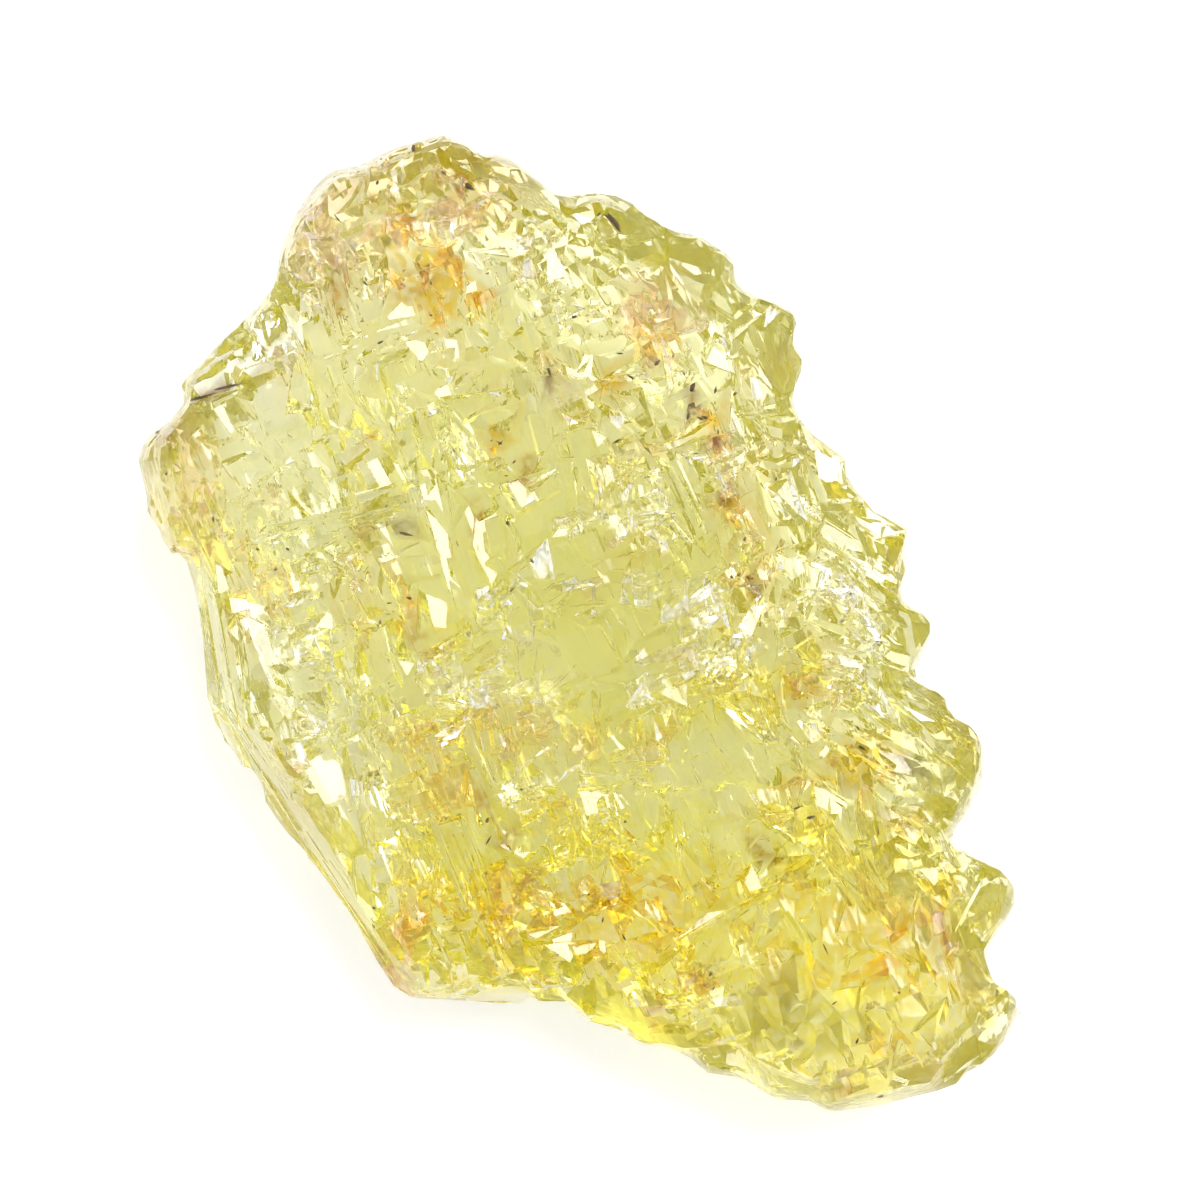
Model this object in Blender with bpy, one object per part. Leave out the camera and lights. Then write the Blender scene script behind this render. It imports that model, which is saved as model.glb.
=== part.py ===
"""Heliodor specimen: one deeply etched crystal of yellow beryl, lying on its broken back.

The crystal is a single solid. It starts as a core slab. On the slab stand columns with roofs: the
etched hillocks of the front, the facets of the terrace, the ribs behind the teeth, the slats and
the lumps. More columns hang under it as the steps of the broken back. Then the striated prism
face is cut, everything outside the crystal's outline is cut away, and the flank is bitten into.
Sizes named MM are millimetres, and objects are made in metres. +Z is up, away from the surface
that the crystal lies on. The crystal's long axis, c, runs down to the right in plan.
"""

import math

import bmesh
import bpy
import numpy as np
from mathutils import Matrix, Vector

MM = 0.001
SEED = 58

HELIODOR_COLOUR = (0.86, 0.80, 0.40, 1.0)
HELIODOR_ROUGHNESS = 0.12
HELIODOR_IOR = 1.575

# Directions in plan: along the c axis, and along the etched teeth.
C_AXIS_DEG = -69.0
TOOTH_AXIS_DEG = -27.0

# The outline seen from above, clockwise from the notch over the left knob.
CREST_MM = [
    (-15.9, 8.9), (-16.1, 9.7), (-15.7, 10.0), (-14.4, 11.3), (-13.5, 12.1), (-12.6, 12.9),
    (-12.2, 13.6), (-12.0, 14.9), (-11.5, 16.2), (-10.6, 17.6), (-9.9, 18.2), (-8.8, 18.4),
    (-8.3, 18.7), (-7.3, 19.1), (-6.3, 19.3), (-5.6, 19.7), (-5.0, 19.4), (-4.6, 19.3),
    (-4.0, 18.6), (-3.4, 18.9), (-2.6, 18.6), (-1.5, 17.7), (-1.2, 17.2), (0.0, 17.1),
    (0.6, 17.3), (2.1, 16.9), (3.0, 16.1), (4.1, 15.5), (4.7, 15.6), (5.1, 15.3), (6.2, 14.6),
]
TEETH_MM = [
    (6.2, 13.8), (6.0, 13.3), (6.5, 13.4), (8.6, 12.5), (8.8, 11.9), (8.6, 11.4), (8.1, 11.2),
    (9.1, 10.6), (8.8, 9.8), (8.5, 8.9), (8.9, 8.0), (9.7, 7.3), (10.8, 6.5), (10.7, 5.9),
    (10.3, 5.4), (11.1, 5.4), (11.9, 4.3), (13.2, 4.0), (13.4, 3.6), (12.9, 2.6), (13.2, 2.3),
    (13.0, 1.3), (12.8, 0.8), (14.1, 0.2), (14.3, -0.3), (13.6, -1.8), (13.4, -2.4),
    (14.8, -3.0), (15.0, -3.4), (14.7, -4.0), (15.8, -4.2), (16.3, -5.0), (16.2, -6.3),
    (15.5, -7.7), (14.7, -8.7), (15.1, -9.2), (17.0, -10.0), (17.5, -10.7), (17.4, -11.5),
    (16.8, -12.3), (16.1, -13.5), (16.5, -13.9), (16.6, -14.7), (17.5, -15.1), (17.8, -15.6),
    (17.0, -16.9),
]
FOOT_MM = [
    (16.3, -17.7), (15.5, -18.0), (15.1, -18.6), (12.1, -19.4), (11.2, -19.5), (10.0, -19.7),
    (9.3, -19.2), (7.7, -19.1), (6.5, -18.3), (5.1, -18.2), (4.6, -17.6), (3.3, -17.0),
    (2.5, -17.0), (1.7, -16.4), (0.5, -16.1), (-2.5, -15.4), (-7.1, -15.1), (-7.6, -14.8),
]
PRISM_EDGE_MM = [
    (-8.0, -14.1), (-8.6, -12.8), (-9.3, -11.8), (-11.1, -10.0), (-12.0, -9.3), (-12.5, -9.1),
    (-13.5, -7.6), (-14.0, -6.5), (-15.0, -4.1), (-15.2, -2.7), (-15.3, -1.1), (-15.4, 0.0),
    (-15.8, 1.3), (-16.2, 2.4), (-16.8, 3.3), (-16.9, 4.0), (-17.4, 4.2), (-17.3, 4.9),
    (-17.6, 5.6), (-17.8, 6.6), (-17.5, 7.4), (-17.1, 7.7), (-16.5, 8.1),
]
OUTLINE_MM = CREST_MM + TEETH_MM + FOOT_MM + PRISM_EDGE_MM

# Sections of the rough block that the outline bounds: height, scale of the outline, shift of
# that section in plan, and how far its rim wanders up and down.
SECTIONS_MM = [
    (0.0, 0.78, (-0.1, -0.2), 0.0),
    (2.8, 0.94, (0.0, 0.0), 0.7),
    (4.8, 1.00, (0.0, 0.0), 1.1),
    (7.4, 0.965, (0.1, 0.1), 0.9),
    (16.5, 0.70, (0.9, 0.7), 0.0),
]
RIM_WAVES_MM = (7.3, 11.9)

# The core slab that every column stands in, and the spread of the columns' feet inside it.
CORE_UNDER_MM = 2.0
CORE_UPPER_MM = 5.8
CORE_SIZE_MM = (44.0, 48.0)
FEET_OF_FRONT_MM = (2.6, 3.4)
FEET_OF_BACK_MM = (3.8, 4.6)

# The smooth form of the front: a base level, and swells and hollows by centre, reach and rise.
FRONT_LEVEL_MM = 6.6
SWELLS_MM = [
    ((1.0, 0.5), (8.0, 9.0), 5.2),
    ((-7.0, 16.0), (4.5, 3.4), 3.0),
    ((3.0, 13.0), (5.0, 3.0), 2.0),
    ((-16.0, 5.4), (2.2, 3.0), 1.2),
    ((-11.0, -2.0), (3.0, 7.0), 1.6),
    ((11.5, -14.5), (6.0, 4.0), 1.0),
    ((-4.4, 13.8), (1.6, 1.3), -2.6),
    ((3.5, -10.2), (5.0, 1.7), -2.0),
]
FRONT_CELL_MM = (3.5, 2.4)

# The terrace below the arc ledge: the rim's centre and radii, the floor, and the drop to it.
TERRACE_CENTRE_MM = (4.6, -14.0)
TERRACE_RADII_MM = (10.4, 9.4)
TERRACE_FLOOR_MM = 8.2
TERRACE_DROP_MM = 2.0
TERRACE_WALL_MM = 6.0
TERRACE_FLARE = (0.80, 1.25)
TERRACE_SIDES = 14
TERRACE_CELL_MM = (3.8, 2.8)

# Ribs behind the teeth: the tip of each tooth, its length and width, and its ridge's height.
RIBS_MM = [
    ((8.6, 12.1), 5.0, 2.0, 8.2),
    ((8.9, 10.2), 5.2, 2.2, 9.4),
    ((9.3, 8.2), 4.6, 2.2, 8.8),
    ((10.8, 6.2), 5.6, 2.4, 10.2),
    ((11.6, 4.9), 4.6, 1.6, 9.4),
    ((13.3, 3.7), 5.6, 2.0, 10.4),
    ((13.1, 2.0), 4.8, 1.7, 9.4),
    ((14.2, 0.0), 6.0, 2.5, 10.2),
    ((14.3, -2.0), 5.0, 2.0, 8.8),
    ((15.0, -3.4), 5.6, 1.8, 9.6),
    ((16.2, -5.4), 6.2, 2.8, 9.8),
    ((15.4, -7.6), 5.4, 2.4, 8.2),
    ((17.4, -10.9), 6.4, 2.8, 8.4),
    ((17.7, -15.5), 5.0, 2.6, 7.6),
]

# Slats side by side along the c axis: the middle of the band, and its count and sizes.
SLATS_CENTRE_MM = (-5.6, -8.6)
SLATS_COUNT = 6
SLAT_LENGTH_MM = 8.0
SLAT_PITCH_MM = 0.75
SLATS_TOP_MM = 9.4

# Lumps: centre, radii in plan, and height of the top. The last two are the dome of the middle.
LUMPS_MM = [
    ((-10.6, 15.4), (1.6, 2.2), 9.2),
    ((-9.2, 17.0), (1.7, 1.3), 8.6),
    ((-7.2, 17.6), (1.4, 1.5), 9.3),
    ((-8.2, 15.2), (1.9, 1.4), 10.4),
    ((-5.2, 17.8), (1.5, 1.4), 8.8),
    ((-5.4, 15.8), (1.7, 1.2), 9.7),
    ((-3.2, 17.2), (1.3, 1.3), 9.0),
    ((-1.9, 15.6), (1.6, 1.3), 9.4),
    ((-12.9, 11.4), (1.5, 1.3), 7.8),
    ((-14.4, 9.6), (1.4, 1.0), 7.4),
    ((0.8, 15.6), (1.5, 1.2), 9.0),
    ((2.9, 14.2), (1.7, 1.3), 9.3),
    ((5.0, 13.8), (1.2, 1.1), 8.4),
    ((-16.7, 6.9), (1.1, 1.0), 7.8),
    ((-16.0, 5.0), (1.3, 1.1), 8.3),
    ((-16.2, 3.4), (1.0, 1.0), 7.3),
    ((12.4, -14.6), (3.6, 2.9), 9.3),
    ((9.0, -16.6), (2.6, 2.0), 8.3),
    ((14.9, -11.6), (2.3, 1.9), 8.6),
    ((14.6, -16.4), (2.0, 1.5), 7.6),
    ((0.6, 0.8), (3.9, 3.0), 12.4),
    ((3.8, -1.6), (2.6, 2.0), 11.8),
]
LUMP_SEGMENTS = 7
LUMP_RINGS = 6
LUMP_UNEVENNESS = 0.13
LUMP_DOME_SHARE = 0.42

# The broken back: the cell of its steps, their spread of levels, and the flat it rests on.
BACK_CELL_MM = (5.8, 4.2)
BACK_LEVELS_MM = (0.3, 1.4)
REST_CENTRE_MM = (0.6, -0.6)
REST_RADII_MM = (11.6, 8.4)
REST_DEPTH_MM = 4.7
REST_SIDES = 9
REST_TURN_DEG = -57.0
REST_WAVES = ((2, 0.10, 0.7), (3, 0.13, 0.2))

# The two prism faces: their foot lines in plan, start and end, the height of those lines, the
# faces' slope, and their striations.
PRISM_FEET_MM = [
    ((-16.9, 2.6), (-15.6, -5.0)),
    ((-16.2, -3.4), (-8.4, -15.2)),
]
PRISM_FOOT_HEIGHT_MM = 2.4
PRISM_SLOPE_DEG = 65.0
PRISM_STEPS = 3
PRISM_STEP_MM = 2.7
PRISM_GROOVES_MM = (0.0, 0.34, 0.11)
PRISM_REACH_MM = 8.0
PRISM_OVERRUN_MM = 4.0

# Bites out of the flank, over and under its widest level: one of each in every stretch of the
# outline. A tier has its level, its direction, and its spread of levels, depths and leans.
BITE_STRETCH_MM = 3.5
BITE_BATCHES = 4
BITE_SIZE_MM = (10.0, 16.0)
BITE_WIDTHS = (1.1, 1.8)
BITE_HEADING_SPREAD_DEG = 12.0
BITE_ROLL_SPREAD_DEG = 9.0
BITE_TIERS_MM = [
    (5.3, 1, (0.0, 2.4), (0.2, 1.6), (6.0, 34.0)),
    (4.0, -1, (0.0, 2.6), (0.3, 2.2), (10.0, 44.0)),
]


def in_terrace(x, y):
    dx = (x - TERRACE_CENTRE_MM[0]) / TERRACE_RADII_MM[0]
    dy = (y - TERRACE_CENTRE_MM[1]) / TERRACE_RADII_MM[1]
    return math.hypot(dx, dy) < 1.0


def front_height(x, y):
    """Height of the smooth form under the etching, in millimetres."""
    height = FRONT_LEVEL_MM
    for (cx, cy), (rx, ry), rise in SWELLS_MM:
        height += rise * math.exp(-(((x - cx) / rx) ** 2) - ((y - cy) / ry) ** 2)
    return height - (TERRACE_DROP_MM if in_terrace(x, y) else 0.0)


def inside_outline(x, y):
    """True where the point lies within the outline, by counting edges crossed to its right."""
    crossed = False
    for (ax, ay), (bx, by) in zip(OUTLINE_MM, OUTLINE_MM[1:] + OUTLINE_MM[:1]):
        if (ay > y) != (by > y) and x < ax + (y - ay) / (by - ay) * (bx - ax):
            crossed = not crossed
    return crossed


def turned(angle_deg, x, y):
    angle = math.radians(angle_deg)
    return (x * math.cos(angle) - y * math.sin(angle), x * math.sin(angle) + y * math.cos(angle))


def new_verts(grown):
    return [item for item in grown["geom"] if isinstance(item, bmesh.types.BMVert)]


class Hillock:
    """A box column with a roof drawn in to a crown, which can lean to one side and fall."""

    def __init__(self, centre, size, foot, top, turn_deg, roof, crown, lean=(0.0, 0.0), fall=(0.0, 0.0)):
        self.centre = centre
        self.size = size
        self.foot = foot
        self.top = top
        self.turn_deg = turn_deg
        self.roof = roof
        self.crown = crown
        self.lean = lean
        self.fall = fall

    def reach(self):
        return math.hypot(*self.size) / 2

    def add_to(self, bm):
        """The column's end face is extruded, and that new face becomes the crown."""
        length, width = self.size
        up = 1 if self.top > self.foot else -1
        eaves = self.top - up * self.roof
        column = bmesh.ops.create_cube(bm, size=1.0)["verts"]
        middle = Matrix.Translation((0, 0, (self.foot + eaves) / 2))
        stretch = Matrix.Diagonal((length, width, abs(eaves - self.foot), 1))
        bmesh.ops.transform(bm, matrix=middle @ stretch, verts=column)
        faces = {face for vert in column for face in vert.link_faces}
        end = max(faces, key=lambda face: face.calc_center_median().z * up)
        crown = new_verts(bmesh.ops.extrude_face_region(bm, geom=[end]))
        bmesh.ops.delete(bm, geom=[end], context="FACES_ONLY")
        for vert in crown:
            vert.co.x = vert.co.x * self.crown[0] + self.lean[0] * length
            vert.co.y = vert.co.y * self.crown[1] + self.lean[1] * width
            vert.co.z = self.top + vert.co.x * self.fall[0] + vert.co.y * self.fall[1]
        turn = Matrix.Rotation(math.radians(self.turn_deg), 4, "Z")
        bmesh.ops.transform(bm, matrix=Matrix.Translation((*self.centre, 0)) @ turn, verts=column + crown)


class Lump:
    """A round column with a domed, uneven top: half of a sphere, its rim drawn down to the foot."""

    def __init__(self, centre, radii, foot, top, rng):
        self.centre = centre
        self.radii = radii
        self.foot = foot
        self.top = top
        self.rng = rng

    def reach(self):
        return max(self.radii) * (1 + LUMP_UNEVENNESS)

    def add_to(self, bm):
        made = bmesh.ops.create_uvsphere(bm, u_segments=LUMP_SEGMENTS, v_segments=LUMP_RINGS, radius=1.0)
        lower = [vert for vert in made["verts"] if vert.co.z < -0.01]
        bmesh.ops.delete(bm, geom=lower, context="VERTS")
        dome = [vert for vert in made["verts"] if vert.is_valid]
        rim = list({edge for vert in dome for edge in vert.link_edges if edge.is_boundary})
        dome_depth = (self.top - self.foot) * LUMP_DOME_SHARE
        for vert in dome:
            swell = 1 + self.rng.uniform(-LUMP_UNEVENNESS, LUMP_UNEVENNESS)
            vert.co.x *= swell
            vert.co.y *= swell
            vert.co.z = self.top - dome_depth * (1 - vert.co.z * swell)
        grown = bmesh.ops.extrude_edge_only(bm, edges=rim)
        foot = new_verts(grown)
        for vert in foot:
            vert.co.z = self.foot
        foot_edges = [item for item in grown["geom"] if isinstance(item, bmesh.types.BMEdge)]
        bmesh.ops.contextual_create(bm, geom=foot_edges)
        turn = Matrix.Rotation(self.rng.uniform(0, math.tau), 4, "Z")
        stretch = Matrix.Diagonal((*self.radii, 1, 1))
        place = Matrix.Translation((*self.centre, 0)) @ stretch @ turn
        bmesh.ops.transform(bm, matrix=place, verts=dome + foot)


def places(rng, turn_deg, cell, reach=30.0, looseness=0.6):
    """Places in the outline, one in each cell of a grid turned to the crystal, each a little off."""
    for along in np.arange(-reach, reach, cell[0]):
        for across in np.arange(-reach, reach, cell[1]):
            off = rng.uniform(0, looseness, 2)
            x, y = turned(turn_deg, along + off[0] * cell[0], across + off[1] * cell[1])
            if inside_outline(x, y):
                yield x, y


def front_hillocks():
    """Long etched hillocks along the c axis, over the whole front."""
    rng = np.random.default_rng(SEED)
    return [
        Hillock(
            centre=(x, y),
            top=front_height(x, y) + rng.uniform(-0.9, 0.7),
            size=(rng.uniform(3.4, 6.0), rng.uniform(2.4, 3.4)),
            foot=rng.uniform(*FEET_OF_FRONT_MM),
            turn_deg=C_AXIS_DEG + rng.normal(0, 5),
            roof=rng.uniform(0.9, 2.0),
            crown=(rng.uniform(0.1, 0.7), rng.uniform(0.03, 0.4)),
            lean=(rng.uniform(-0.3, 0.3), rng.uniform(-0.3, 0.3)),
            fall=(rng.normal(0, 0.15), rng.normal(0, 0.1)),
        )
        for x, y in places(rng, C_AXIS_DEG, FRONT_CELL_MM)
    ]


def terrace_facets():
    """Low broad facets, set across the c axis, on the terrace under the arc ledge."""
    rng = np.random.default_rng(SEED + 5)
    return [
        Hillock(
            centre=(x, y),
            size=(rng.uniform(4.0, 6.4), rng.uniform(3.0, 4.0)),
            foot=rng.uniform(*FEET_OF_FRONT_MM),
            top=TERRACE_FLOOR_MM + rng.uniform(-0.2, 1.2),
            turn_deg=C_AXIS_DEG + 90 + rng.normal(0, 14),
            roof=rng.uniform(0.9, 1.8),
            crown=(rng.uniform(0.2, 0.7), rng.uniform(0.05, 0.5)),
            lean=(rng.uniform(-0.2, 0.2), rng.uniform(0.0, 0.3)),
            fall=(rng.normal(0, 0.08), rng.normal(0, 0.1)),
        )
        for x, y in places(rng, C_AXIS_DEG + 90, TERRACE_CELL_MM)
        if in_terrace(x, y)
    ]


def tooth_ribs():
    """One rib behind each tooth. Its ridge runs along the tooth's upper edge and falls to the tip."""
    rng = np.random.default_rng(SEED + 2)
    ribs = []
    for (tip_x, tip_y), length, width, top in RIBS_MM:
        turn = TOOTH_AXIS_DEG + rng.normal(0, 3)
        back_x, back_y = turned(turn, -0.42 * length, -0.15 * width)
        ribs.append(
            Hillock(
                centre=(tip_x + back_x, tip_y + back_y),
                size=(length, width),
                foot=rng.uniform(*FEET_OF_FRONT_MM),
                top=top,
                turn_deg=turn,
                roof=2.2,
                crown=(0.75, 0.06),
                lean=(-0.05, 0.24),
                fall=(-0.22, 0.0),
            )
        )
    return ribs


def slats():
    """Thin plates side by side along the c axis, each a little higher or lower than the last."""
    rng = np.random.default_rng(SEED + 3)
    band = []
    for number in range(SLATS_COUNT):
        across = (number - (SLATS_COUNT - 1) / 2) * SLAT_PITCH_MM
        off_x, off_y = turned(C_AXIS_DEG, rng.uniform(-0.8, 0.8), across)
        band.append(
            Hillock(
                centre=(SLATS_CENTRE_MM[0] + off_x, SLATS_CENTRE_MM[1] + off_y),
                size=(SLAT_LENGTH_MM, SLAT_PITCH_MM * 1.1),
                foot=rng.uniform(*FEET_OF_FRONT_MM),
                top=SLATS_TOP_MM + rng.uniform(-0.3, 0.3),
                turn_deg=C_AXIS_DEG,
                roof=0.5,
                crown=(0.9, 0.1),
                lean=(0.0, 0.3),
                fall=(-0.06, 0.0),
            )
        )
    return band


def lumps():
    rng = np.random.default_rng(SEED + 4)
    return [Lump(centre, radii, rng.uniform(*FEET_OF_FRONT_MM), top, rng) for centre, radii, top in LUMPS_MM]


def back_steps():
    """Broad low steps over the broken back."""
    rng = np.random.default_rng(SEED + 1)
    return [
        Hillock(
            centre=(x, y),
            size=(rng.uniform(6.4, 9.4), rng.uniform(4.6, 6.0)),
            foot=rng.uniform(*FEET_OF_BACK_MM),
            top=rng.uniform(*BACK_LEVELS_MM),
            turn_deg=C_AXIS_DEG + rng.normal(0, 4),
            roof=rng.uniform(0.4, 0.8),
            crown=(rng.uniform(0.5, 0.9), rng.uniform(0.4, 0.8)),
            fall=(rng.normal(0, 0.06), rng.normal(0, 0.06)),
        )
        for x, y in places(rng, C_AXIS_DEG, BACK_CELL_MM)
    ]


def apart(column, other):
    return math.dist(column.centre, other.centre) > column.reach() + other.reach()


def in_batches(columns):
    """Shares columns out so that no two in a batch touch, and each batch is joined on at once."""
    batches = []
    for column in columns:
        free = [batch for batch in batches if all(apart(column, other) for other in batch)]
        if free:
            free[0].append(column)
        else:
            batches.append([column])
    return batches


def object_from(bm, name, collection):
    """Turns a bmesh in millimetres into an object in metres, its faces triangles that point out."""
    bmesh.ops.recalc_face_normals(bm, faces=bm.faces)
    bmesh.ops.triangulate(bm, faces=bm.faces)
    bmesh.ops.transform(bm, matrix=Matrix.Scale(MM, 4), verts=bm.verts)
    mesh = bpy.data.meshes.new(name)
    bm.to_mesh(mesh)
    bm.free()
    obj = bpy.data.objects.new(name, mesh)
    collection.objects.link(obj)
    return obj


def core_slab(collection):
    bm = bmesh.new()
    slab = bmesh.ops.create_cube(bm, size=1.0)["verts"]
    middle = Matrix.Translation((0, 0, (CORE_UNDER_MM + CORE_UPPER_MM) / 2))
    stretch = Matrix.Diagonal((*CORE_SIZE_MM, CORE_UPPER_MM - CORE_UNDER_MM, 1))
    bmesh.ops.transform(bm, matrix=middle @ stretch, verts=slab)
    return object_from(bm, "heliodor_crystal", collection)


def resting_flat(collection):
    """The flat, uneven in outline, that the crystal lies on."""
    bm = bmesh.new()
    flat = bmesh.ops.create_cone(
        bm, cap_ends=True, segments=REST_SIDES, radius1=0.9, radius2=1.0, depth=REST_DEPTH_MM
    )["verts"]
    for vert in flat:
        angle = math.atan2(vert.co.y, vert.co.x)
        swell = 1 + sum(height * math.sin(count * angle + phase) for count, height, phase in REST_WAVES)
        vert.co.x *= swell
        vert.co.y *= swell
    place = (
        Matrix.Translation((*REST_CENTRE_MM, REST_DEPTH_MM / 2))
        @ Matrix.Rotation(math.radians(REST_TURN_DEG), 4, "Z")
        @ Matrix.Diagonal((*REST_RADII_MM, 1, 1))
    )
    bmesh.ops.transform(bm, matrix=place, verts=flat)
    return object_from(bm, "resting_flat", collection)


def section_matrix(section):
    height, scale, shift, _ = section
    return Matrix.Translation((*shift, height)) @ Matrix.Diagonal((scale, scale, 1, 1))


def rough_block(collection):
    """The outline, extruded up from section to section, each rim waving a little."""
    bm = bmesh.new()
    outline = [bm.verts.new((x, y, 0.0)) for x, y in OUTLINE_MM]
    face = bm.faces.new(outline)
    placed = section_matrix(SECTIONS_MM[0])
    bmesh.ops.transform(bm, matrix=placed, verts=outline)
    rims = []
    for number, section in enumerate(SECTIONS_MM[1:]):
        grown = bmesh.ops.extrude_face_region(bm, geom=[face])
        rim = new_verts(grown)
        if number > 0:
            bm.faces.remove(face)
        face = next(item for item in grown["geom"] if isinstance(item, bmesh.types.BMFace))
        bmesh.ops.transform(bm, matrix=section_matrix(section) @ placed.inverted(), verts=rim)
        placed = section_matrix(section)
        rims.append((rim, section[3]))
    for rim, wander in rims:
        for vert in rim:
            waves = [math.sin(math.tau * vert.co[i] / RIM_WAVES_MM[i]) for i in (0, 1)]
            vert.co.z += wander * sum(waves) / 2
    return object_from(bm, "rough_block", collection)


def prism_cutter(foot, collection):
    """What lies outside a prism face: a grooved profile, extruded along the face's foot line."""
    start, end = (Vector(point) for point in foot)
    slope = math.radians(PRISM_SLOPE_DEG)
    below = (-PRISM_REACH_MM / math.tan(slope), -PRISM_REACH_MM)
    steps = [number * PRISM_STEP_MM for number in range(PRISM_STEPS + 1)]
    grooves = [PRISM_GROOVES_MM[number % len(PRISM_GROOVES_MM)] for number in range(PRISM_STEPS + 1)]
    face_line = [(up * math.cos(slope) + groove, up * math.sin(slope)) for up, groove in zip(steps, grooves)]
    last_x, last_z = face_line[-1]
    above = (last_x + PRISM_REACH_MM / math.tan(slope), last_z + PRISM_REACH_MM)
    outside = -2 * PRISM_REACH_MM
    profile = [(outside, below[1]), below, *face_line, above, (outside, above[1])]
    bm = bmesh.new()
    face = bm.faces.new([bm.verts.new((x, 0.0, z)) for x, z in profile])
    far_end = new_verts(bmesh.ops.extrude_face_region(bm, geom=[face]))
    bmesh.ops.translate(bm, vec=(0, -(end - start).length - PRISM_OVERRUN_MM, 0), verts=far_end)
    heading = math.atan2(end.y - start.y, end.x - start.x) + math.pi / 2
    place = Matrix.Translation((*start, PRISM_FOOT_HEIGHT_MM)) @ Matrix.Rotation(heading, 4, "Z")
    bmesh.ops.transform(bm, matrix=place, verts=bm.verts)
    return object_from(bm, "prism_cutter", collection)


def terrace_cutter(collection):
    """What lies over the terrace: a flared cone whose sides leave the arc ledge."""
    bm = bmesh.new()
    cone = bmesh.ops.create_cone(
        bm,
        cap_ends=True,
        segments=TERRACE_SIDES,
        radius1=TERRACE_FLARE[0],
        radius2=TERRACE_FLARE[1],
        depth=TERRACE_WALL_MM,
    )["verts"]
    middle = Matrix.Translation((*TERRACE_CENTRE_MM, TERRACE_FLOOR_MM + TERRACE_WALL_MM / 2))
    stretch = Matrix.Diagonal((*TERRACE_RADII_MM, 1, 1))
    bmesh.ops.transform(bm, matrix=middle @ stretch, verts=cone)
    return object_from(bm, "terrace_cutter", collection)


def flank_stretches():
    """The middle of each stretch of the outline, with its outward direction."""
    points = [Vector(point) for point in OUTLINE_MM]
    edges = list(zip(points, points[1:] + points[:1]))
    around = sum((end - start).length for start, end in edges)

    def at(distance):
        left = distance % around
        for start, end in edges:
            length = (end - start).length
            if left <= length:
                return start.lerp(end, left / length)
            left -= length
        return points[0]

    count = int(around / BITE_STRETCH_MM)
    for number in range(count):
        distance = (number + 0.5) * around / count
        along = (at(distance - BITE_STRETCH_MM) - at(distance + BITE_STRETCH_MM)).normalized()
        yield at(distance), Vector((along.y, -along.x))


def flank_cutters(collection):
    """Boxes set corner first into the flank, over and under its widest level."""
    rng = np.random.default_rng(SEED + 6)
    depth, height = BITE_SIZE_MM
    batches = {}
    for number, (middle, outward) in enumerate(flank_stretches()):
        for level, up, levels, depths, leans in BITE_TIERS_MM:
            bm = batches.setdefault((up, number % BITE_BATCHES), bmesh.new())
            box = bmesh.ops.create_cube(bm, size=1.0)["verts"]
            heading = math.atan2(outward.y, outward.x) + math.radians(rng.normal(0, BITE_HEADING_SPREAD_DEG))
            corner = middle - outward * rng.uniform(*depths)
            place = (
                Matrix.Translation((*corner, level + rng.uniform(*levels) * up))
                @ Matrix.Rotation(heading, 4, "Z")
                @ Matrix.Rotation(-math.radians(rng.uniform(*leans)) * up, 4, "Y")
                @ Matrix.Rotation(math.radians(rng.normal(0, BITE_ROLL_SPREAD_DEG)), 4, "X")
                @ Matrix.Translation((depth / 2, 0, height / 2 * up))
                @ Matrix.Diagonal((depth, rng.uniform(*BITE_WIDTHS) * BITE_STRETCH_MM, height, 1))
            )
            bmesh.ops.transform(bm, matrix=place, verts=box)
    return [object_from(bm, f"bite_{number}", collection) for number, bm in enumerate(batches.values(), 1)]


def boolean(obj, other, operation):
    modifier = obj.modifiers.new(other.name, "BOOLEAN")
    modifier.operation = operation
    modifier.object = other
    other.hide_render = True
    other.display_type = "WIRE"


def join_columns(crystal, name, columns, helpers):
    for number, batch in enumerate(in_batches(columns), 1):
        bm = bmesh.new()
        for column in batch:
            column.add_to(bm)
        boolean(crystal, object_from(bm, f"{name}_{number}", helpers), "UNION")


def heliodor():
    material = bpy.data.materials.new("heliodor")
    material.use_nodes = True
    shader = material.node_tree.nodes["Principled BSDF"]
    shader.inputs["Base Color"].default_value = HELIODOR_COLOUR
    shader.inputs["Roughness"].default_value = HELIODOR_ROUGHNESS
    shader.inputs["Metallic"].default_value = 0.0
    shader.inputs["IOR"].default_value = HELIODOR_IOR
    shader.inputs["Transmission Weight"].default_value = 1.0
    return material


def main():
    for obj in list(bpy.data.objects):
        bpy.data.objects.remove(obj, do_unlink=True)
    specimen = bpy.data.collections.new("heliodor_specimen")
    helpers = bpy.data.collections.new("helpers")
    bpy.context.scene.collection.children.link(specimen)
    bpy.context.scene.collection.children.link(helpers)

    crystal = core_slab(specimen)
    crystal.data.materials.append(heliodor())
    join_columns(crystal, "hillocks", front_hillocks(), helpers)
    boolean(crystal, terrace_cutter(helpers), "DIFFERENCE")
    join_columns(crystal, "facets", terrace_facets(), helpers)
    join_columns(crystal, "ribs", tooth_ribs(), helpers)
    join_columns(crystal, "slats", slats(), helpers)
    join_columns(crystal, "lumps", lumps(), helpers)
    join_columns(crystal, "steps", back_steps(), helpers)
    boolean(crystal, resting_flat(helpers), "UNION")
    for foot in PRISM_FEET_MM:
        boolean(crystal, prism_cutter(foot, helpers), "DIFFERENCE")
    boolean(crystal, rough_block(helpers), "INTERSECT")
    for cutter in flank_cutters(helpers):
        boolean(crystal, cutter, "DIFFERENCE")


main()
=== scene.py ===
"""Heliodor specimen: the finely etched crystal, its iron stains and inclusions, and the stage.

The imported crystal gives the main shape. A merged copy of it is etched: small forms that follow the
crystal's own axes are added to its skin and cut out of it. Lengths in the tables are millimetres.
"""

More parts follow.
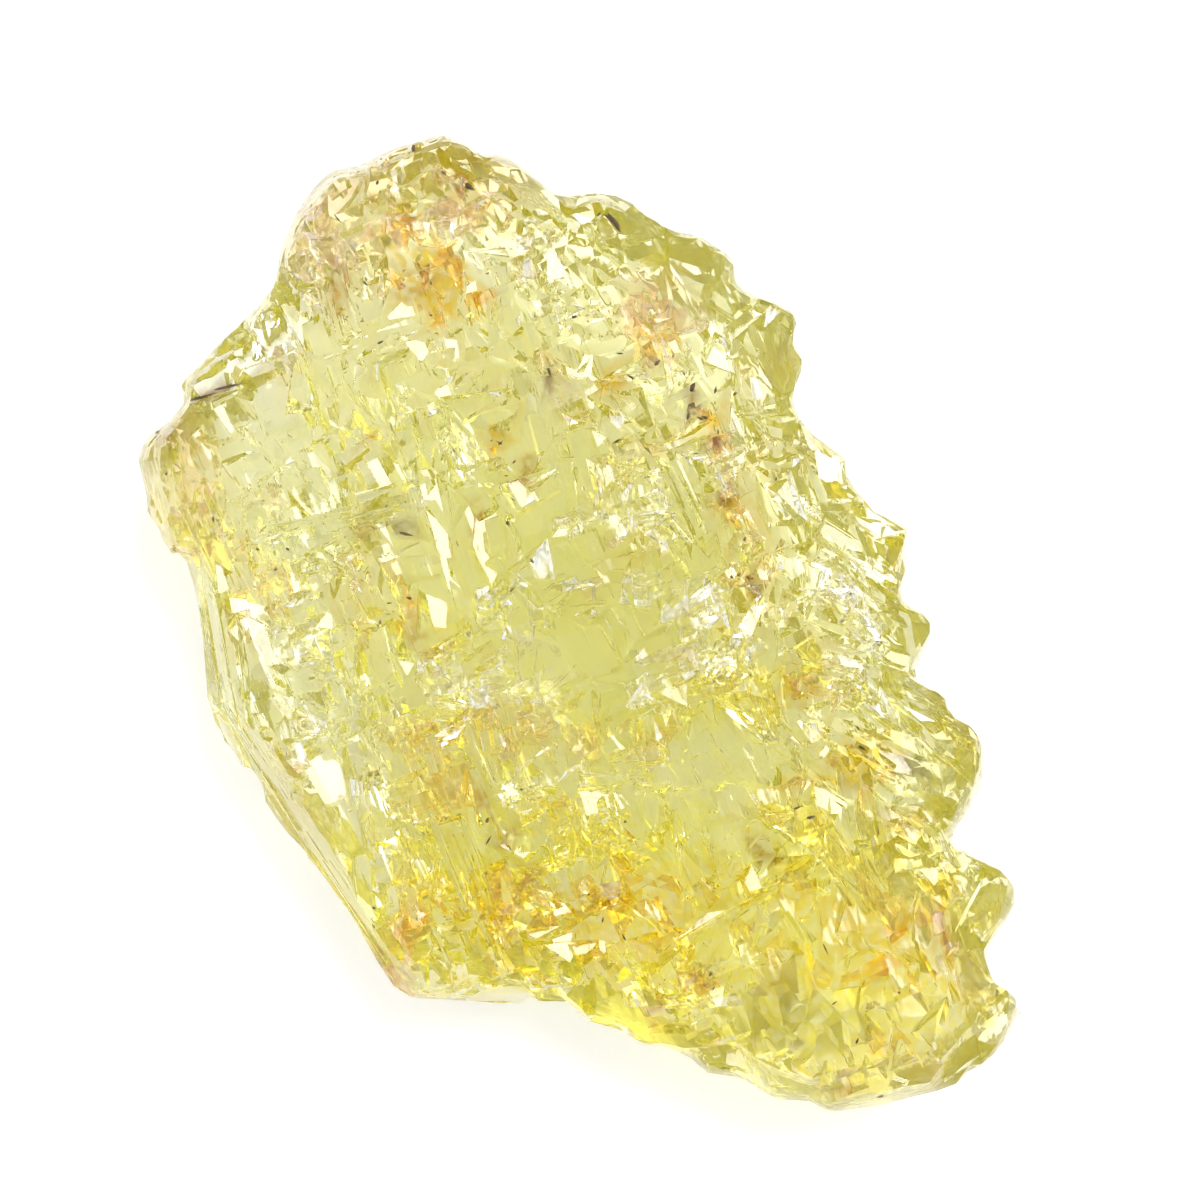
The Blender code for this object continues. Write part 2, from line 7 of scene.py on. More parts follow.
import itertools
import math
import random
from collections import namedtuple

import bpy
import numpy as np
from mathutils import Matrix, Vector, noise
from mathutils.bvhtree import BVHTree


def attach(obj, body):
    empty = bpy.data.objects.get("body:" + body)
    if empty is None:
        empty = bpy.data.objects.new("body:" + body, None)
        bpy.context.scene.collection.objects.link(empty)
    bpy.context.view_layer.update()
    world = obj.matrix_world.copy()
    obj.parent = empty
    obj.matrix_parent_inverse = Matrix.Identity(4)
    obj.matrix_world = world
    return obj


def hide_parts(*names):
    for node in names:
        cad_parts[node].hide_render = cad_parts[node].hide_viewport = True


bl_info = {
    "name": "Heliodor specimen",
    "version": (1, 0, 0),
    "blender": (4, 5, 0),
    "location": "3D View > Sidebar > Heliodor",
    "description": "Etches, stains and lights a crystal of heliodor on its packed body",
    "category": "Object",
}

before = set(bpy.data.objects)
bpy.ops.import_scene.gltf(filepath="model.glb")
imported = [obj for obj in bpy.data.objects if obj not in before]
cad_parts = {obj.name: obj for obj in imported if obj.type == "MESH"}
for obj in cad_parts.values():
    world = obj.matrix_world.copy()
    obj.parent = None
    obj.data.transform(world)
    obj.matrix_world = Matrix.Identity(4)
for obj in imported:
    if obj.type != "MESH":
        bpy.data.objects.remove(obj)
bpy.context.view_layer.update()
NODE = "heliodor_crystal"
BODY = "root"
MM = 0.001
UP = Vector((0.0, 0.0, 1.0))
# Rays come from overhead, or start just under the skin.
OVERHEAD_MM, JUST_UNDER_MM = 40.0, 0.05


# ---- hands ----


def leave_edit():
    """Leaves edit mode."""
    bpy.ops.object.mode_set(mode="OBJECT")


def clear_selection():
    """Leaves edit mode and selects nothing."""
    if bpy.context.object and bpy.context.object.mode != "OBJECT":
        leave_edit()
    bpy.ops.object.select_all(action="DESELECT")


def only(obj):
    """Selects one object alone and makes it active."""
    clear_selection()
    obj.select_set(True)
    bpy.context.view_layer.objects.active = obj
    return obj


def edit(obj):
    """Opens obj in edit mode."""
    only(obj)
    bpy.ops.object.mode_set(mode="EDIT")
    return obj


def pick_all():
    """Selects the whole mesh in edit mode."""
    bpy.ops.mesh.select_all(action="SELECT")


def edit_picked(obj, mode, parts, test):
    """Opens obj in edit mode with those of its faces or vertices selected that pass the test."""
    edit(obj)
    bpy.ops.mesh.select_mode(type=mode)
    bpy.ops.mesh.select_all(action="DESELECT")
    leave_edit()
    for part in getattr(obj.data, parts):
        part.select = test(part)
    bpy.ops.object.mode_set(mode="EDIT")


def edit_points(obj, test):
    """Opens obj in edit mode with the vertices selected whose place passes the test."""
    edit_picked(obj, "VERT", "vertices", lambda point: test(point.co))


def move(x=0.0, y=0.0, z=0.0):
    """Moves what is selected."""
    bpy.ops.transform.translate(value=(x, y, z))


def resize(x=1.0, y=1.0, z=1.0):
    """Resizes what is selected about its middle."""
    bpy.ops.transform.resize(value=(x, y, z))


def close_edit(obj):
    """Leaves edit mode with obj in triangles that point outwards, in a fixed order."""
    pick_all()
    bpy.ops.mesh.quads_convert_to_tris(quad_method="FIXED", ngon_method="CLIP")
    bpy.ops.mesh.normals_make_consistent(inside=False)
    leave_edit()
    return settled(obj)


def settled(obj):
    """Puts the faces of a small mesh in a fixed order, so that each run carves the same stone."""
    faces = []
    for face in obj.data.polygons:
        corners = list(face.vertices)
        first = corners.index(min(corners))
        faces.append(tuple(corners[first:] + corners[:first]))
    mesh = bpy.data.meshes.new(obj.name)
    mesh.from_pydata([tuple(point.co) for point in obj.data.vertices], [], sorted(faces))
    obj.data = mesh
    return obj


def linked(name, mesh):
    """A new object in the scene for a mesh."""
    obj = bpy.data.objects.new(name, mesh)
    bpy.context.scene.collection.objects.link(obj)
    return obj


def joined(copies):
    """Joins objects into one and returns it."""
    clear_selection()
    for copy in copies:
        copy.select_set(True)
    bpy.context.view_layer.objects.active = copies[0]
    if len(copies) > 1:
        bpy.ops.object.join()
    return bpy.context.object


def modify(obj, kind, **settings):
    """Adds a modifier to obj and applies it."""
    only(obj)
    modifier = obj.modifiers.new(kind.lower(), kind)
    for name, value in settings.items():
        setattr(modifier, name, value)
    bpy.ops.object.modifier_apply(modifier=modifier.name)


def skin_of(obj):
    """The faces of obj, ready for rays and nearest points."""
    return BVHTree.FromPolygons(
        [point.co.copy() for point in obj.data.vertices],
        [tuple(face.vertices) for face in obj.data.polygons],
    )


def new_material(name):
    """A material, its node tree and its shader."""
    mat = bpy.data.materials.new(name)
    mat.use_nodes = True
    return mat, mat.node_tree, mat.node_tree.nodes["Principled BSDF"]


def add_node(tree, kind, values=(), **settings):
    """Adds a node to a tree, with settings of its own and values for its sockets."""
    node = tree.nodes.new("ShaderNode" + kind)
    for name, value in settings.items():
        setattr(node, name, value)
    for socket, value in dict(values).items():
        node.inputs[socket].default_value = value
    return node


# Sockets of a Mix node of colours, whose names repeat.
MIX_SHARE, MIX_A, MIX_B, MIX_COLOUR = 0, 6, 7, 2


def wire(tree, *wires):
    """Links sockets of a tree, each given as node, output, node, input."""
    for start, output, end, entry in wires:
        tree.links.new(start.outputs[output], end.inputs[entry])


# ---- etch forms ----
# Each form fills a unit cell: its foot at -1, its eaves at 0 and its crown at 1, long along x.


def block():
    """A unit block with eaves at half height, its crown selected in edit mode."""
    clear_selection()
    bpy.ops.mesh.primitive_cube_add(size=2.0, location=(0.0, 0.0, -0.5))
    form = bpy.context.object
    bpy.ops.object.transform_apply(location=True)
    edit_points(form, lambda co: co.z < 0.0)
    move(z=0.5)
    leave_edit()
    edit_picked(form, "FACE", "polygons", lambda face: face.normal.z > 0.9 and face.center.z > 0.0)
    move(z=-0.5)
    bpy.ops.mesh.extrude_region_move(TRANSFORM_OT_translate={"value": (0.0, 0.0, 1.0)})
    return form


def crowned(length, width, shift=(0.0, 0.0)):
    """A block whose crown is drawn in to a length and a width, and set off to one side."""
    form = block()
    resize(length, width)
    move(*shift)
    return form


def narrowed(form, share, shift):
    """Draws in one end of a form and sets it off to one side."""
    edit_points(form, lambda co: co.x > 0.0)
    resize(y=share)
    move(y=shift)
    return form


def roof_form():
    """A hillock whose crown is a ridge, set off to one side."""
    return close_edit(crowned(0.55, 0.04, shift=(0.22, -0.4)))


def terrace_form():
    """A hillock in two steps with a leaning top."""
    form = crowned(0.84, 0.78)
    move(z=-0.5)
    bpy.ops.mesh.inset(thickness=0.26, depth=0.0)
    move(-0.1, 0.12)
    bpy.ops.mesh.extrude_region_move(TRANSFORM_OT_translate={"value": (0.0, 0.0, 0.36)})
    bpy.ops.transform.rotate(value=0.26, orient_axis="Y", center_override=(0.0, 0.0, 0.8))
    return close_edit(form)


def shard_form():
    """A leaning point with a sharp keel."""
    form = crowned(0.1, 0.05, shift=(0.52, 0.24))
    edit_points(form, lambda co: co.z < 0.5 and co.x < 0.0)
    resize(y=0.35)
    return close_edit(form)


def slab_form():
    """A flat slab with wide bevels."""
    return close_edit(crowned(0.66, 0.56))


def chip_form():
    """A flat three-cornered chip."""
    return close_edit(narrowed(crowned(0.5, 0.5), share=0.16, shift=0.3))


def wedge_form():
    """A wedge: one long slope that rises from its tail to a steep head."""
    return close_edit(crowned(0.1, 0.5, shift=(0.6, 0.1)))


def rib_form():
    """A long three-sided rib that sinks away at one end."""
    form = crowned(0.8, 0.1, shift=(0.1, 0.2))
    edit_points(form, lambda co: co.z > 0.5 and co.x < 0.0)
    move(z=-0.75)
    return close_edit(form)


def lump_form():
    """A low rounded lump."""
    clear_selection()
    bpy.ops.mesh.primitive_ico_sphere_add(subdivisions=2, radius=1.0)
    return close_edit(edit(bpy.context.object))


def facet_form():
    """A steep-sided block with one narrow end, that leaves one flat facet."""
    return close_edit(narrowed(crowned(0.96, 0.92), share=0.45, shift=0.22))


FORMS = {
    "facet": facet_form,
    "roof": roof_form,
    "terrace": terrace_form,
    "shard": shard_form,
    "slab": slab_form,
    "chip": chip_form,
    "wedge": wedge_form,
    "rib": rib_form,
    "lump": lump_form,
}

# Calm zones of the skin: middle, radii and turn in plan, and the share of forms that stay.
CALM_ZONES = [
    ((-0.8, -0.6), (2.8, 2.5), 15, 0.55),
    ((11, -15), (4.6, 3.4), -20, 0.45),
    ((2.4, -10.2), (5.4, 2), 8, 0.4),
    ((1.4, -6.2), (3.4, 1.6), 10, 0.35),
    ((8, 1.2), (1.8, 1.5), 15, 0.4),
]

# Regions of the skin in plan (mm), and the slopes (z of the normal) where flanks and back begin.
PRISM_LINE, PRISM_ROOM = ((-14.5, 0.6), (-9.2, -11.4)), 0.4
PRISM_LOW, PRISM_HIGH = -15.5, 1.6
CREST_LOW, CREST_PEAK, CREST_FALL, CREST_MIDDLE, CREST_RIGHT = 10.5, 13.2, 0.25, -6.0, 2.0
KNOB_LOW, KNOB_HIGH, KNOB_RIGHT = 2.0, 9.5, -14.6
TEETH_LOW, TEETH_HIGH, TEETH_LEFT, TEETH_LEAN = -9.5, 6.0, 8.5, 0.22
LOBE_HIGH, LOBE_LEFT = -10.0, 5.0
FLANK_SLOPE, BACK_SLOPE = 0.3, -0.3


def in_ellipse(ellipse, x, y):
    """A place in plan (mm) in the terms of an ellipse's own radii."""
    (cx, cy), (rx, ry), turn = ellipse[:3]
    a = math.radians(-turn)
    dx, dy = x - cx, y - cy
    u = (dx * math.cos(a) - dy * math.sin(a)) / rx
    v = (dx * math.sin(a) + dy * math.cos(a)) / ry
    return u, v


def inside(zone, point):
    """Whether a point lies in a zone, in plan."""
    u, v = in_ellipse(zone, point.x / MM, point.y / MM)
    return u * u + v * v < 1.0


def region(point, normal):
    """Names the part of the skin that a point is in."""
    x, y = point.x / MM, point.y / MM
    if normal.z < BACK_SLOPE:
        return "back"
    (ax, ay), (bx, by) = PRISM_LINE
    side = ((bx - ax) * (y - ay) - (by - ay) * (x - ax)) / math.hypot(bx - ax, by - ay)
    if side < PRISM_ROOM and PRISM_LOW < y < PRISM_HIGH:
        return "prism"
    if x < CREST_RIGHT and y > max(CREST_LOW, CREST_PEAK - CREST_FALL * abs(x - CREST_MIDDLE)):
        return "crest"
    if x < KNOB_RIGHT and KNOB_LOW < y < KNOB_HIGH:
        return "knob"
    if normal.z < FLANK_SLOPE:
        return "flank"
    if y > TEETH_LOW and x > TEETH_LEFT + TEETH_LEAN * (TEETH_HIGH - y):
        return "teeth"
    if x > LOBE_LEFT and y < LOBE_HIGH:
        return "lobe"
    return "front"


# The mix of forms in each region, raised and cut.
MIXES = {
    "front": (("chip", 4), ("shard", 3), ("slab", 3), ("wedge", 4), ("roof", 2), ("rib", 1)),
    "teeth": (("rib", 4), ("chip", 3), ("wedge", 3), ("roof", 1)),
    "crest": (("lump", 2), ("chip", 4), ("wedge", 3), ("shard", 1)),
    "knob": (("lump", 2), ("rib", 2), ("chip", 3), ("wedge", 1)),
    "lobe": (("lump", 1), ("chip", 4), ("wedge", 3)),
    "prism": (("rib", 1),),
    "flank": (("slab", 3), ("chip", 4), ("wedge", 2)),
    "back": (("slab", 3), ("chip", 4), ("wedge", 3)),
}
CUT_MIX = (("chip", 3), ("slab", 1), ("wedge", 4), ("shard", 2), ("roof", 2))
CUT_MIX_REGIONS = ("front", "teeth", "flank", "back")

# Length, width and rise of a form against the spacing of its pass, and lean in degrees, by region.
PROPORTIONS = {
    "front": (1.5, 0.8, 0.26, 11),
    "teeth": (1.7, 0.6, 0.22, 8),
    "crest": (0.74, 0.62, 0.2, 8),
    "knob": (0.74, 0.56, 0.2, 8),
    "lobe": (1.1, 0.85, 0.16, 9),
    "prism": (2.6, 0.2, 0.05, 1),
    "flank": (1, 0.75, 0.1, 6),
    "back": (1.3, 0.95, 0.08, 5),
}

# Passes of etching: spacing in mm, rise against its proportion, added or cut, the share of the
# skin that it leaves alone in patches, and whether it reaches the back.
Pass = namedtuple("Pass", "spacing raised operation bare backed")
PASSES = [
    Pass(3.4, 1.3, "UNION", 0, True),
    Pass(2.6, 1.2, "DIFFERENCE", 0, True),
    Pass(1.9, 1.1, "UNION", 0, False),
    Pass(1.5, 1, "DIFFERENCE", 0.1, False),
    Pass(1.2, 1, "UNION", 0.5, False),
    Pass(0.85, 1.1, "DIFFERENCE", 0.76, False),
]
# The clear facets are cut after this pass.
FACETS_AFTER = 3

# Spacing of the forms of each region against that of the pass.
CROWDING = {
    "front": 0.85, "teeth": 0.85, "crest": 0.75, "knob": 0.75,
    "prism": 1.2, "flank": 1.3, "back": 1.5,
}
# Tries of a pass whose forms are 1 mm apart, and the most tries of any pass.
TRIES, MOST_TRIES = 43200, 60000
# A pass with less spacing is fine, and leaves this share of its forms on facets and rib rows.
FINE_MM, FINE_SHARE = 1.3, 0.08
# Size of the patches that a pass leaves alone, and the swing of their noise.
PATCH_MM, PATCH_SWING = 2.6, 0.9
# How much the worn skin's own normal counts against that of the etched face.
SOFT_NORMAL = 1.5
# Where forms look up, as etching keeps to the crystal's planes: shares of the normal and of up.
LOOKING_UP = ("front", "teeth", "lobe", "crest", "knob")
OWN_WAY, UP_WAY = 0.7, 0.6
# On the front: the shares of forms along the c axis, across it and in any direction.
FRONT_HEADINGS, HEADING_SPREAD_DEG = (6, 3, 1), 9.0
# Random size of a form, and of its length, width and rise beside that.
SIZES, LENGTHS, WIDTHS, RISES = (0.65, 1.45), (0.8, 1.3), (0.75, 1.3), (0.6, 1.5)
# A form is left out where less than this of its heading lies in its own plane.
LEAST_LAY = 0.2
# Foot of a form against its half length, its spread, and the kinds whose foot doesn't spread.
SINK, FLARE, UNFLARED = 0.5, 1.55, ("rib", "lump")
# Room to the rim against a form's half length, for spacings over COARSE_MM and for the others.
COARSE_MM, RIM_ROOM, FINE_RIM_ROOM = 2.0, 1.6, 1.25
# How low a form may stand, and how low the ends of a raised one may reach.
START_MM, LOWEST_MM = 1.3, 0.4
# Nothing is cut where the stone is thinner, and a foot fills this share of it at most.
THIN_MM, FOOT_SHARE = 3.0, 0.5
# How far the ends and the foot of a raised form may stand out of the worn skin.
HANG_MM, STRAY_MM = 0.35, 0.12
# Clear space round a form of a batch, against its half length or width.
REACH = 1.9
# The widest clear space of a form, and the cells in which the forms of a batch are looked up.
WIDEST_MM, BATCH_CELL_MM = 3.4, 2.5
# Forms on the skin: kind, matrix, rise above and sink below the eaves, clear space and place.
Place = namedtuple("Place", "kind matrix rise sink reach at")

# Facets: how much deeper than their rows they are cut, their crown, foot and clear space.
FACET_DEEPER_MM, FACET_CROWN_MM, FACET_FOOT_MM, FACET_REACH = 0.15, 0.05, 2.5, 1.5
# Ribs: length and steepest slope of a stretch, and its half length, half width and clear space.
RIB_STRETCH_MM, RIB_STEEPEST = 3.2, 0.6
RIB_HALF, RIB_HALF_WIDTH, RIB_REACH = 0.54, 0.46, 1.2
# Swing and beat of the ends of ribs, and of their rise round its mean; least rise, and foot.
RIB_SWAY, RIB_SWAY_BEAT = 0.35, 2.3
RIB_MEAN, RIB_SWING, RIB_BEAT = 0.75, 0.45, 1.7
RIB_LEAST_MM, RIB_FOOT_MM = 0.05, 0.5

# Clear facets cut flat: middle, length and width (mm), heading, lean and the way it leans (deg),
# and depth (mm) under the skin.
FACETS = [
    ((8.3, 2.2), (2.5, 1.8), -14, 9, 60, 0.2),
    ((7.4, 0.2), (2.8, 2.1), -8, 11, 50, 0.25),
    ((6.5, -0.9), (2.6, 1), -12, 12, 250, 0.15),
    ((4.4, 0.9), (1.8, 2.4), -66, 8, 20, 0.15),
    ((1.2, -5.9), (4.2, 1.3), 14, 10, 110, 0.2),
    ((1.6, -6.9), (3.4, 1.2), 8, 17, 55, 0.25),
    ((9.8, -6.9), (1.9, 1.3), -18, 17, 55, 0.25),
    ((-10.4, 0.2), (1.8, 1.8), 8, 18, 48, 0.25),
    ((-12.2, -2.5), (2.8, 2.3), -66, 18, 50, 0.25),
    ((-12, 5.1), (2.2, 0.9), -72, 18, 50, 0.25),
    ((-6.6, 11.7), (2.6, 1.3), -62, 18, 55, 0.25),
    ((-3.6, 14.2), (2.6, 2), 12, 16, 48, 0.2),
    ((-4.5, -4), (2, 1), -69, 6, 200, 0.2),
    ((6.1, 11.8), (2.2, 0.7), -20, 18, 50, 0.15),
    ((6.3, 10.3), (2.4, 1), -24, 17, 50, 0.15),
    ((-5.5, 4.1), (5.8, 0.9), -78, 17, 48, 0.3),
    ((-8.2, -8), (6.2, 1.5), -72, 16, 30, 0.25),
    ((-5.8, -0.3), (1.9, 1.6), 22, 14, 300, 0.2),
    ((-11.2, 2), (2.6, 1.2), 12, 10, 100, 0.2),
    ((1.4, 8.8), (2.4, 2.2), -30, 9, 80, 0.15),
    ((-0.4, 6.8), (3, 1.3), 24, 15, 40, 0.2),
    ((3.2, 6), (2.8, 1), -66, 17, 55, 0.25),
    ((4.9, 4.2), (2.2, 1.3), 16, 12, 200, 0.2),
    ((-8.4, 8.4), (2.4, 1.5), -20, 13, 70, 0.2),
    ((-3.4, 9.6), (1.8, 2.4), -70, 12, 10, 0.2),
    ((10.8, 3.2), (2.6, 0.9), -24, 18, 52, 0.15),
    ((10.2, -1.2), (2.6, 0.8), -20, 18, 50, 0.15),
    ((10, -2), (2.4, 0.6), -16, 17, 52, 0.15),
    ((11.9, -4.2), (2.6, 1), -28, 16, 50, 0.15),
    ((9.3, -4.6), (1.6, 1), -34, 17, 50, 0.2),
    ((4.6, -11.4), (3.2, 1.5), 28, 12, 60, 0.2),
    ((-0.2, -13), (4.4, 1.2), -36, 15, 40, 0.25),
    ((8, -9.6), (2, 1.2), 24, 14, 70, 0.2),
    ((-6.6, -12.6), (2, 1.6), 30, 12, 200, 0.2),
    ((-14.6, 9.1), (3.2, 0.16), 16, 4, 100, 1),
    ((6.1, -1.7), (2, 1.2), 30, 17, 50, 0.1),
    ((3.6, -5.6), (2.1, 1.2), -20, 12, 340, 0.15),
    ((5.8, 3.1), (1.8, 1.1), -64, 12, 220, 0.1),
    ((-2.2, 5.4), (2.2, 1.4), -66, 14, 60, 0.15),
    ((-9.9, -4), (2.4, 1.2), -70, 17, 45, 0.15),
    ((-13, 1.2), (1.6, 1.1), -60, 18, 50, 0.15),
    ((-12.6, -0.6), (2.2, 1), -66, 18, 55, 0.15),
    ((-9.8, -6.4), (2.6, 1.8), -64, 17, 50, 0.15),
    ((12.4, 1.6), (1.8, 1.2), -30, 17, 50, 0.1),
    ((14.2, -9.6), (1.8, 1.2), 40, 17, 52, 0.1),
    ((-5.6, 15.7), (2.4, 0.9), 20, 18, 50, 0.15),
    ((-8.4, 13.9), (1.8, 0.6), -60, 18, 50, 0.1),
    ((-13.9, 8), (1.6, 0.6), -60, 18, 50, 0.12),
    ((-14.9, 7.2), (1.2, 0.6), -50, 18, 50, 0.12),
    ((-14.4, 2), (1.6, 1), -60, 18, 50, 0.15),
    ((7.8, -1.8), (1.6, 1.2), 60, 18, 50, 0.15),
    ((-8.9, -10), (2.2, 1.6), -64, 17, 50, 0.15),
]

# Rows of fine ribs: middle of the row, its length across the ribs, rib length, pitch (mm), the
# ribs' heading (deg) and rise (mm).
RIB_ROWS = [
    ((-5.6, -8.9), 3.2, 7.4, 0.36, -69, 0.2),
    ((-7.9, -3.4), 2.4, 2.8, 0.34, -66, 0.16),
    ((0.6, -8.1), 4.6, 1.6, 0.4, -74, 0.22),
    ((-9.5, 4.3), 1.6, 3.2, 0.42, 15, 0.18),
    ((10.2, -1.8), 2.2, 2.4, 0.46, -18, 0.2),
    ((-9.6, 13.2), 1.4, 2.4, 0.3, -74, 0.12),
    ((-15, 4), 1.6, 3, 0.34, -68, 0.12),
    ((3.4, 5.2), 1.6, 3, 0.4, -66, 0.16),
    ((-3.6, -6.4), 1.4, 3, 0.36, -68, 0.16),
    ((4.6, -5.4), 1.2, 1.6, 0.3, -64, 0.12),
    ((10.9, -9.8), 1.6, 2.2, 0.36, -60, 0.14),
    ((14.6, -8.4), 1.2, 1.8, 0.34, -62, 0.12),
]


def skin_samples(mesh, count, draw):
    """Random points on the mesh's skin, evenly over its area, with their normals."""
    mesh.calc_loop_triangles()
    co = np.empty(len(mesh.vertices) * 3)
    mesh.vertices.foreach_get("co", co)
    co = co.reshape(-1, 3)
    tri = np.empty(len(mesh.loop_triangles) * 3, dtype=np.int32)
    mesh.loop_triangles.foreach_get("vertices", tri)
    a, b, c = (co[tri.reshape(-1, 3)[:, k]] for k in range(3))
    cross = np.cross(b - a, c - a)
    area = np.linalg.norm(cross, axis=1)
    which = draw.choice(len(area), size=count, p=area / area.sum())
    u, v = draw.random_sample(count), draw.random_sample(count)
    flip = u + v > 1.0
    u[flip], v[flip] = 1.0 - u[flip], 1.0 - v[flip]
    points = a[which] + (b - a)[which] * u[:, None] + (c - a)[which] * v[:, None]
    normals = cross[which] / np.maximum(area[which], 1e-18)[:, None]
    return points, normals


class Grid:
    def __init__(self, size):
        self.size = size
        self.cells = {}

    def key(self, p):
        return tuple(math.floor(c / self.size) for c in p)

    def add(self, p, value):
        self.cells.setdefault(self.key(p), []).append((p, value))

    def near(self, p, reach):
        n = math.ceil(reach / self.size)
        for cell in itertools.product(*(range(c - n, c + n + 1) for c in self.key(p))):
            yield from self.cells.get(cell, ())


def top_of(skin, x, y):
    """The topmost point and its normal at a place in plan (mm), or None twice beside the stone."""
    return skin.ray_cast(Vector((x * MM, y * MM, OVERHEAD_MM * MM)), -UP)[:2]


def over_stone(skin, place):
    """Whether a point in plan lies over the stone."""
    return skin.ray_cast(Vector((place.x, place.y, OVERHEAD_MM * MM)), -UP)[0] is not None


def hang(skin, point):
    """How far a point stands out of the skin, or sinks in if below nought."""
    hit, normal, _, _ = skin.find_nearest(point)
    return (point - hit).dot(normal)


def thickness(skin, point, normal):
    """How far it is through the stone from a point of its skin."""
    hit, _, _, distance = skin.ray_cast(point - normal * JUST_UNDER_MM * MM, -normal)
    return distance if hit is not None else 0.0


def calm_zones(spacing):
    """The calm zones of a pass."""
    zones = list(CALM_ZONES)
    if spacing < FINE_MM:
        zones += [(at, (a / 2, b / 2), turn, FINE_SHARE) for at, (a, b), turn, *_ in FACETS]
        zones += [(at, (b / 2, a / 2), turn, FINE_SHARE) for at, a, b, _, turn, _ in RIB_ROWS]
    return zones


def drawn_form(name, step, pick):
    """Draws the kind, half length, half width and rise of a form for a region."""
    cuts = step.operation == "DIFFERENCE" and name in CUT_MIX_REGIONS
    kinds, shares = zip(*(CUT_MIX if cuts else MIXES[name]))
    kind = pick.choices(kinds, shares)[0]
    along, across, rise, _ = PROPORTIONS[name]
    size = pick.uniform(*SIZES)
    along *= step.spacing * MM * size * pick.uniform(*LENGTHS) / 2.0
    across *= step.spacing * MM * size * pick.uniform(*WIDTHS) / 2.0
    rise *= step.spacing * MM * step.raised * size * pick.uniform(*RISES)
    return kind, along, across, rise


def drawn_heading(name, normal, settings, pick):
    """Draws the heading of a form in plan, along the crystal's own directions."""
    heading = settings.tooth_axis if name == "teeth" else settings.c_axis
    if name == "front":
        any_way = pick.uniform(0.0, math.pi)
        heading += pick.choices((0.0, math.pi / 2, any_way), FRONT_HEADINGS)[0]
    if name == "prism":
        heading = math.atan2(normal.y, normal.x) + math.pi / 2
    else:
        heading += math.radians(pick.gauss(0.0, HEADING_SPREAD_DEG))
    if pick.random() < 0.5:
        heading += math.pi
    return Vector((math.cos(heading), math.sin(heading), 0.0))


def drawn_axis(name, normal, pick):
    """Draws the way out of the stone for a form."""
    axis = normal
    if name in LOOKING_UP:
        axis = (normal * OWN_WAY + UP * UP_WAY).normalized()
    lean = math.tan(math.radians(PROPORTIONS[name][3]))
    tip = Vector([pick.gauss(0.0, lean) for _ in range(3)])
    return (axis + tip).normalized()


def has_root(skin, ends, axis, rise, foot, long, wide):
    """Whether a raised form stands in the stone, with nothing that hangs out or past the rim."""
    if any(hang(skin, end) > HANG_MM * MM for end in ends):
        return False
    if min(end.z for end in ends) + min(axis.z * rise, 0.0) < LOWEST_MM * MM:
        return False
    if not all(over_stone(skin, end + axis * rise) for end in ends):
        return False
    corners = (foot + long + wide, foot + long - wide, foot - long + wide, foot - long - wide)
    return all(hang(skin, corner) <= STRAY_MM * MM for corner in corners)


def etch_places(skin, mesh, step, settings, seed):
    """Chooses where the forms of a pass go and how they lie."""
    draw, pick = np.random.RandomState(seed), random.Random(seed)
    cut = step.operation == "DIFFERENCE"
    zones = calm_zones(step.spacing)
    room = RIM_ROOM if step.spacing > COARSE_MM else FINE_RIM_ROOM
    count = min(int(TRIES / step.spacing**2), MOST_TRIES)
    taken = Grid(step.spacing * MM)
    places = []
    for point, normal in zip(*skin_samples(mesh, count, draw)):
        p, n = Vector(point), Vector(normal)
        if p.z < START_MM * MM:
            continue
        n = (n + skin.find_nearest(p)[1] * SOFT_NORMAL).normalized()
        name = region(p, n)
        if (name == "back" and not step.backed) or (name == "prism" and step.backed):
            continue
        if n.z > 0 and any(inside(z, p) and pick.random() > z[3] for z in zones):
            continue
        patch = noise.noise(p / (PATCH_MM * MM) + Vector((seed, 0.0, 0.0)))
        if step.bare > 0.0 and patch < (step.bare - 0.5) * PATCH_SWING:
            continue
        gap = step.spacing * MM * CROWDING.get(name, 1.0)
        if any((q - p).length < gap for q, _ in taken.near(p, gap)):
            continue
        taken.add(p, None)
        kind, along, across, rise = drawn_form(name, step, pick)
        x = drawn_heading(name, n, settings, pick)
        axis = drawn_axis(name, n, pick) * (-1.0 if cut else 1.0)
        x = x - axis * x.dot(axis)
        if x.length < LEAST_LAY:
            continue
        x.normalize()
        long, wide = x * along, axis.cross(x) * across
        ends = (p + long, p - long, p + wide, p - wide)
        if not all(over_stone(skin, p + (end - p) * room) for end in ends):
            continue
        through = thickness(skin, p, n)
        sink = max(SINK * max(along, across), rise)
        if cut and through < THIN_MM * MM:
            continue
        if not cut:
            sink = min(sink, FOOT_SHARE * through)
            if not has_root(skin, ends, axis, rise, p - axis * sink, long * FLARE, wide * FLARE):
                continue
        size = Matrix.Diagonal((along, across, 1.0, 1.0))
        matrix = Matrix.Translation(p) @ turned(x, axis) @ size
        places.append(Place(kind, matrix, rise, sink, REACH * max(along, across), p))
    return places


def turned(along, axis):
    """A matrix that turns x along one way and z along another at right angles to it."""
    return Matrix((along, axis.cross(along), axis)).transposed().to_4x4()


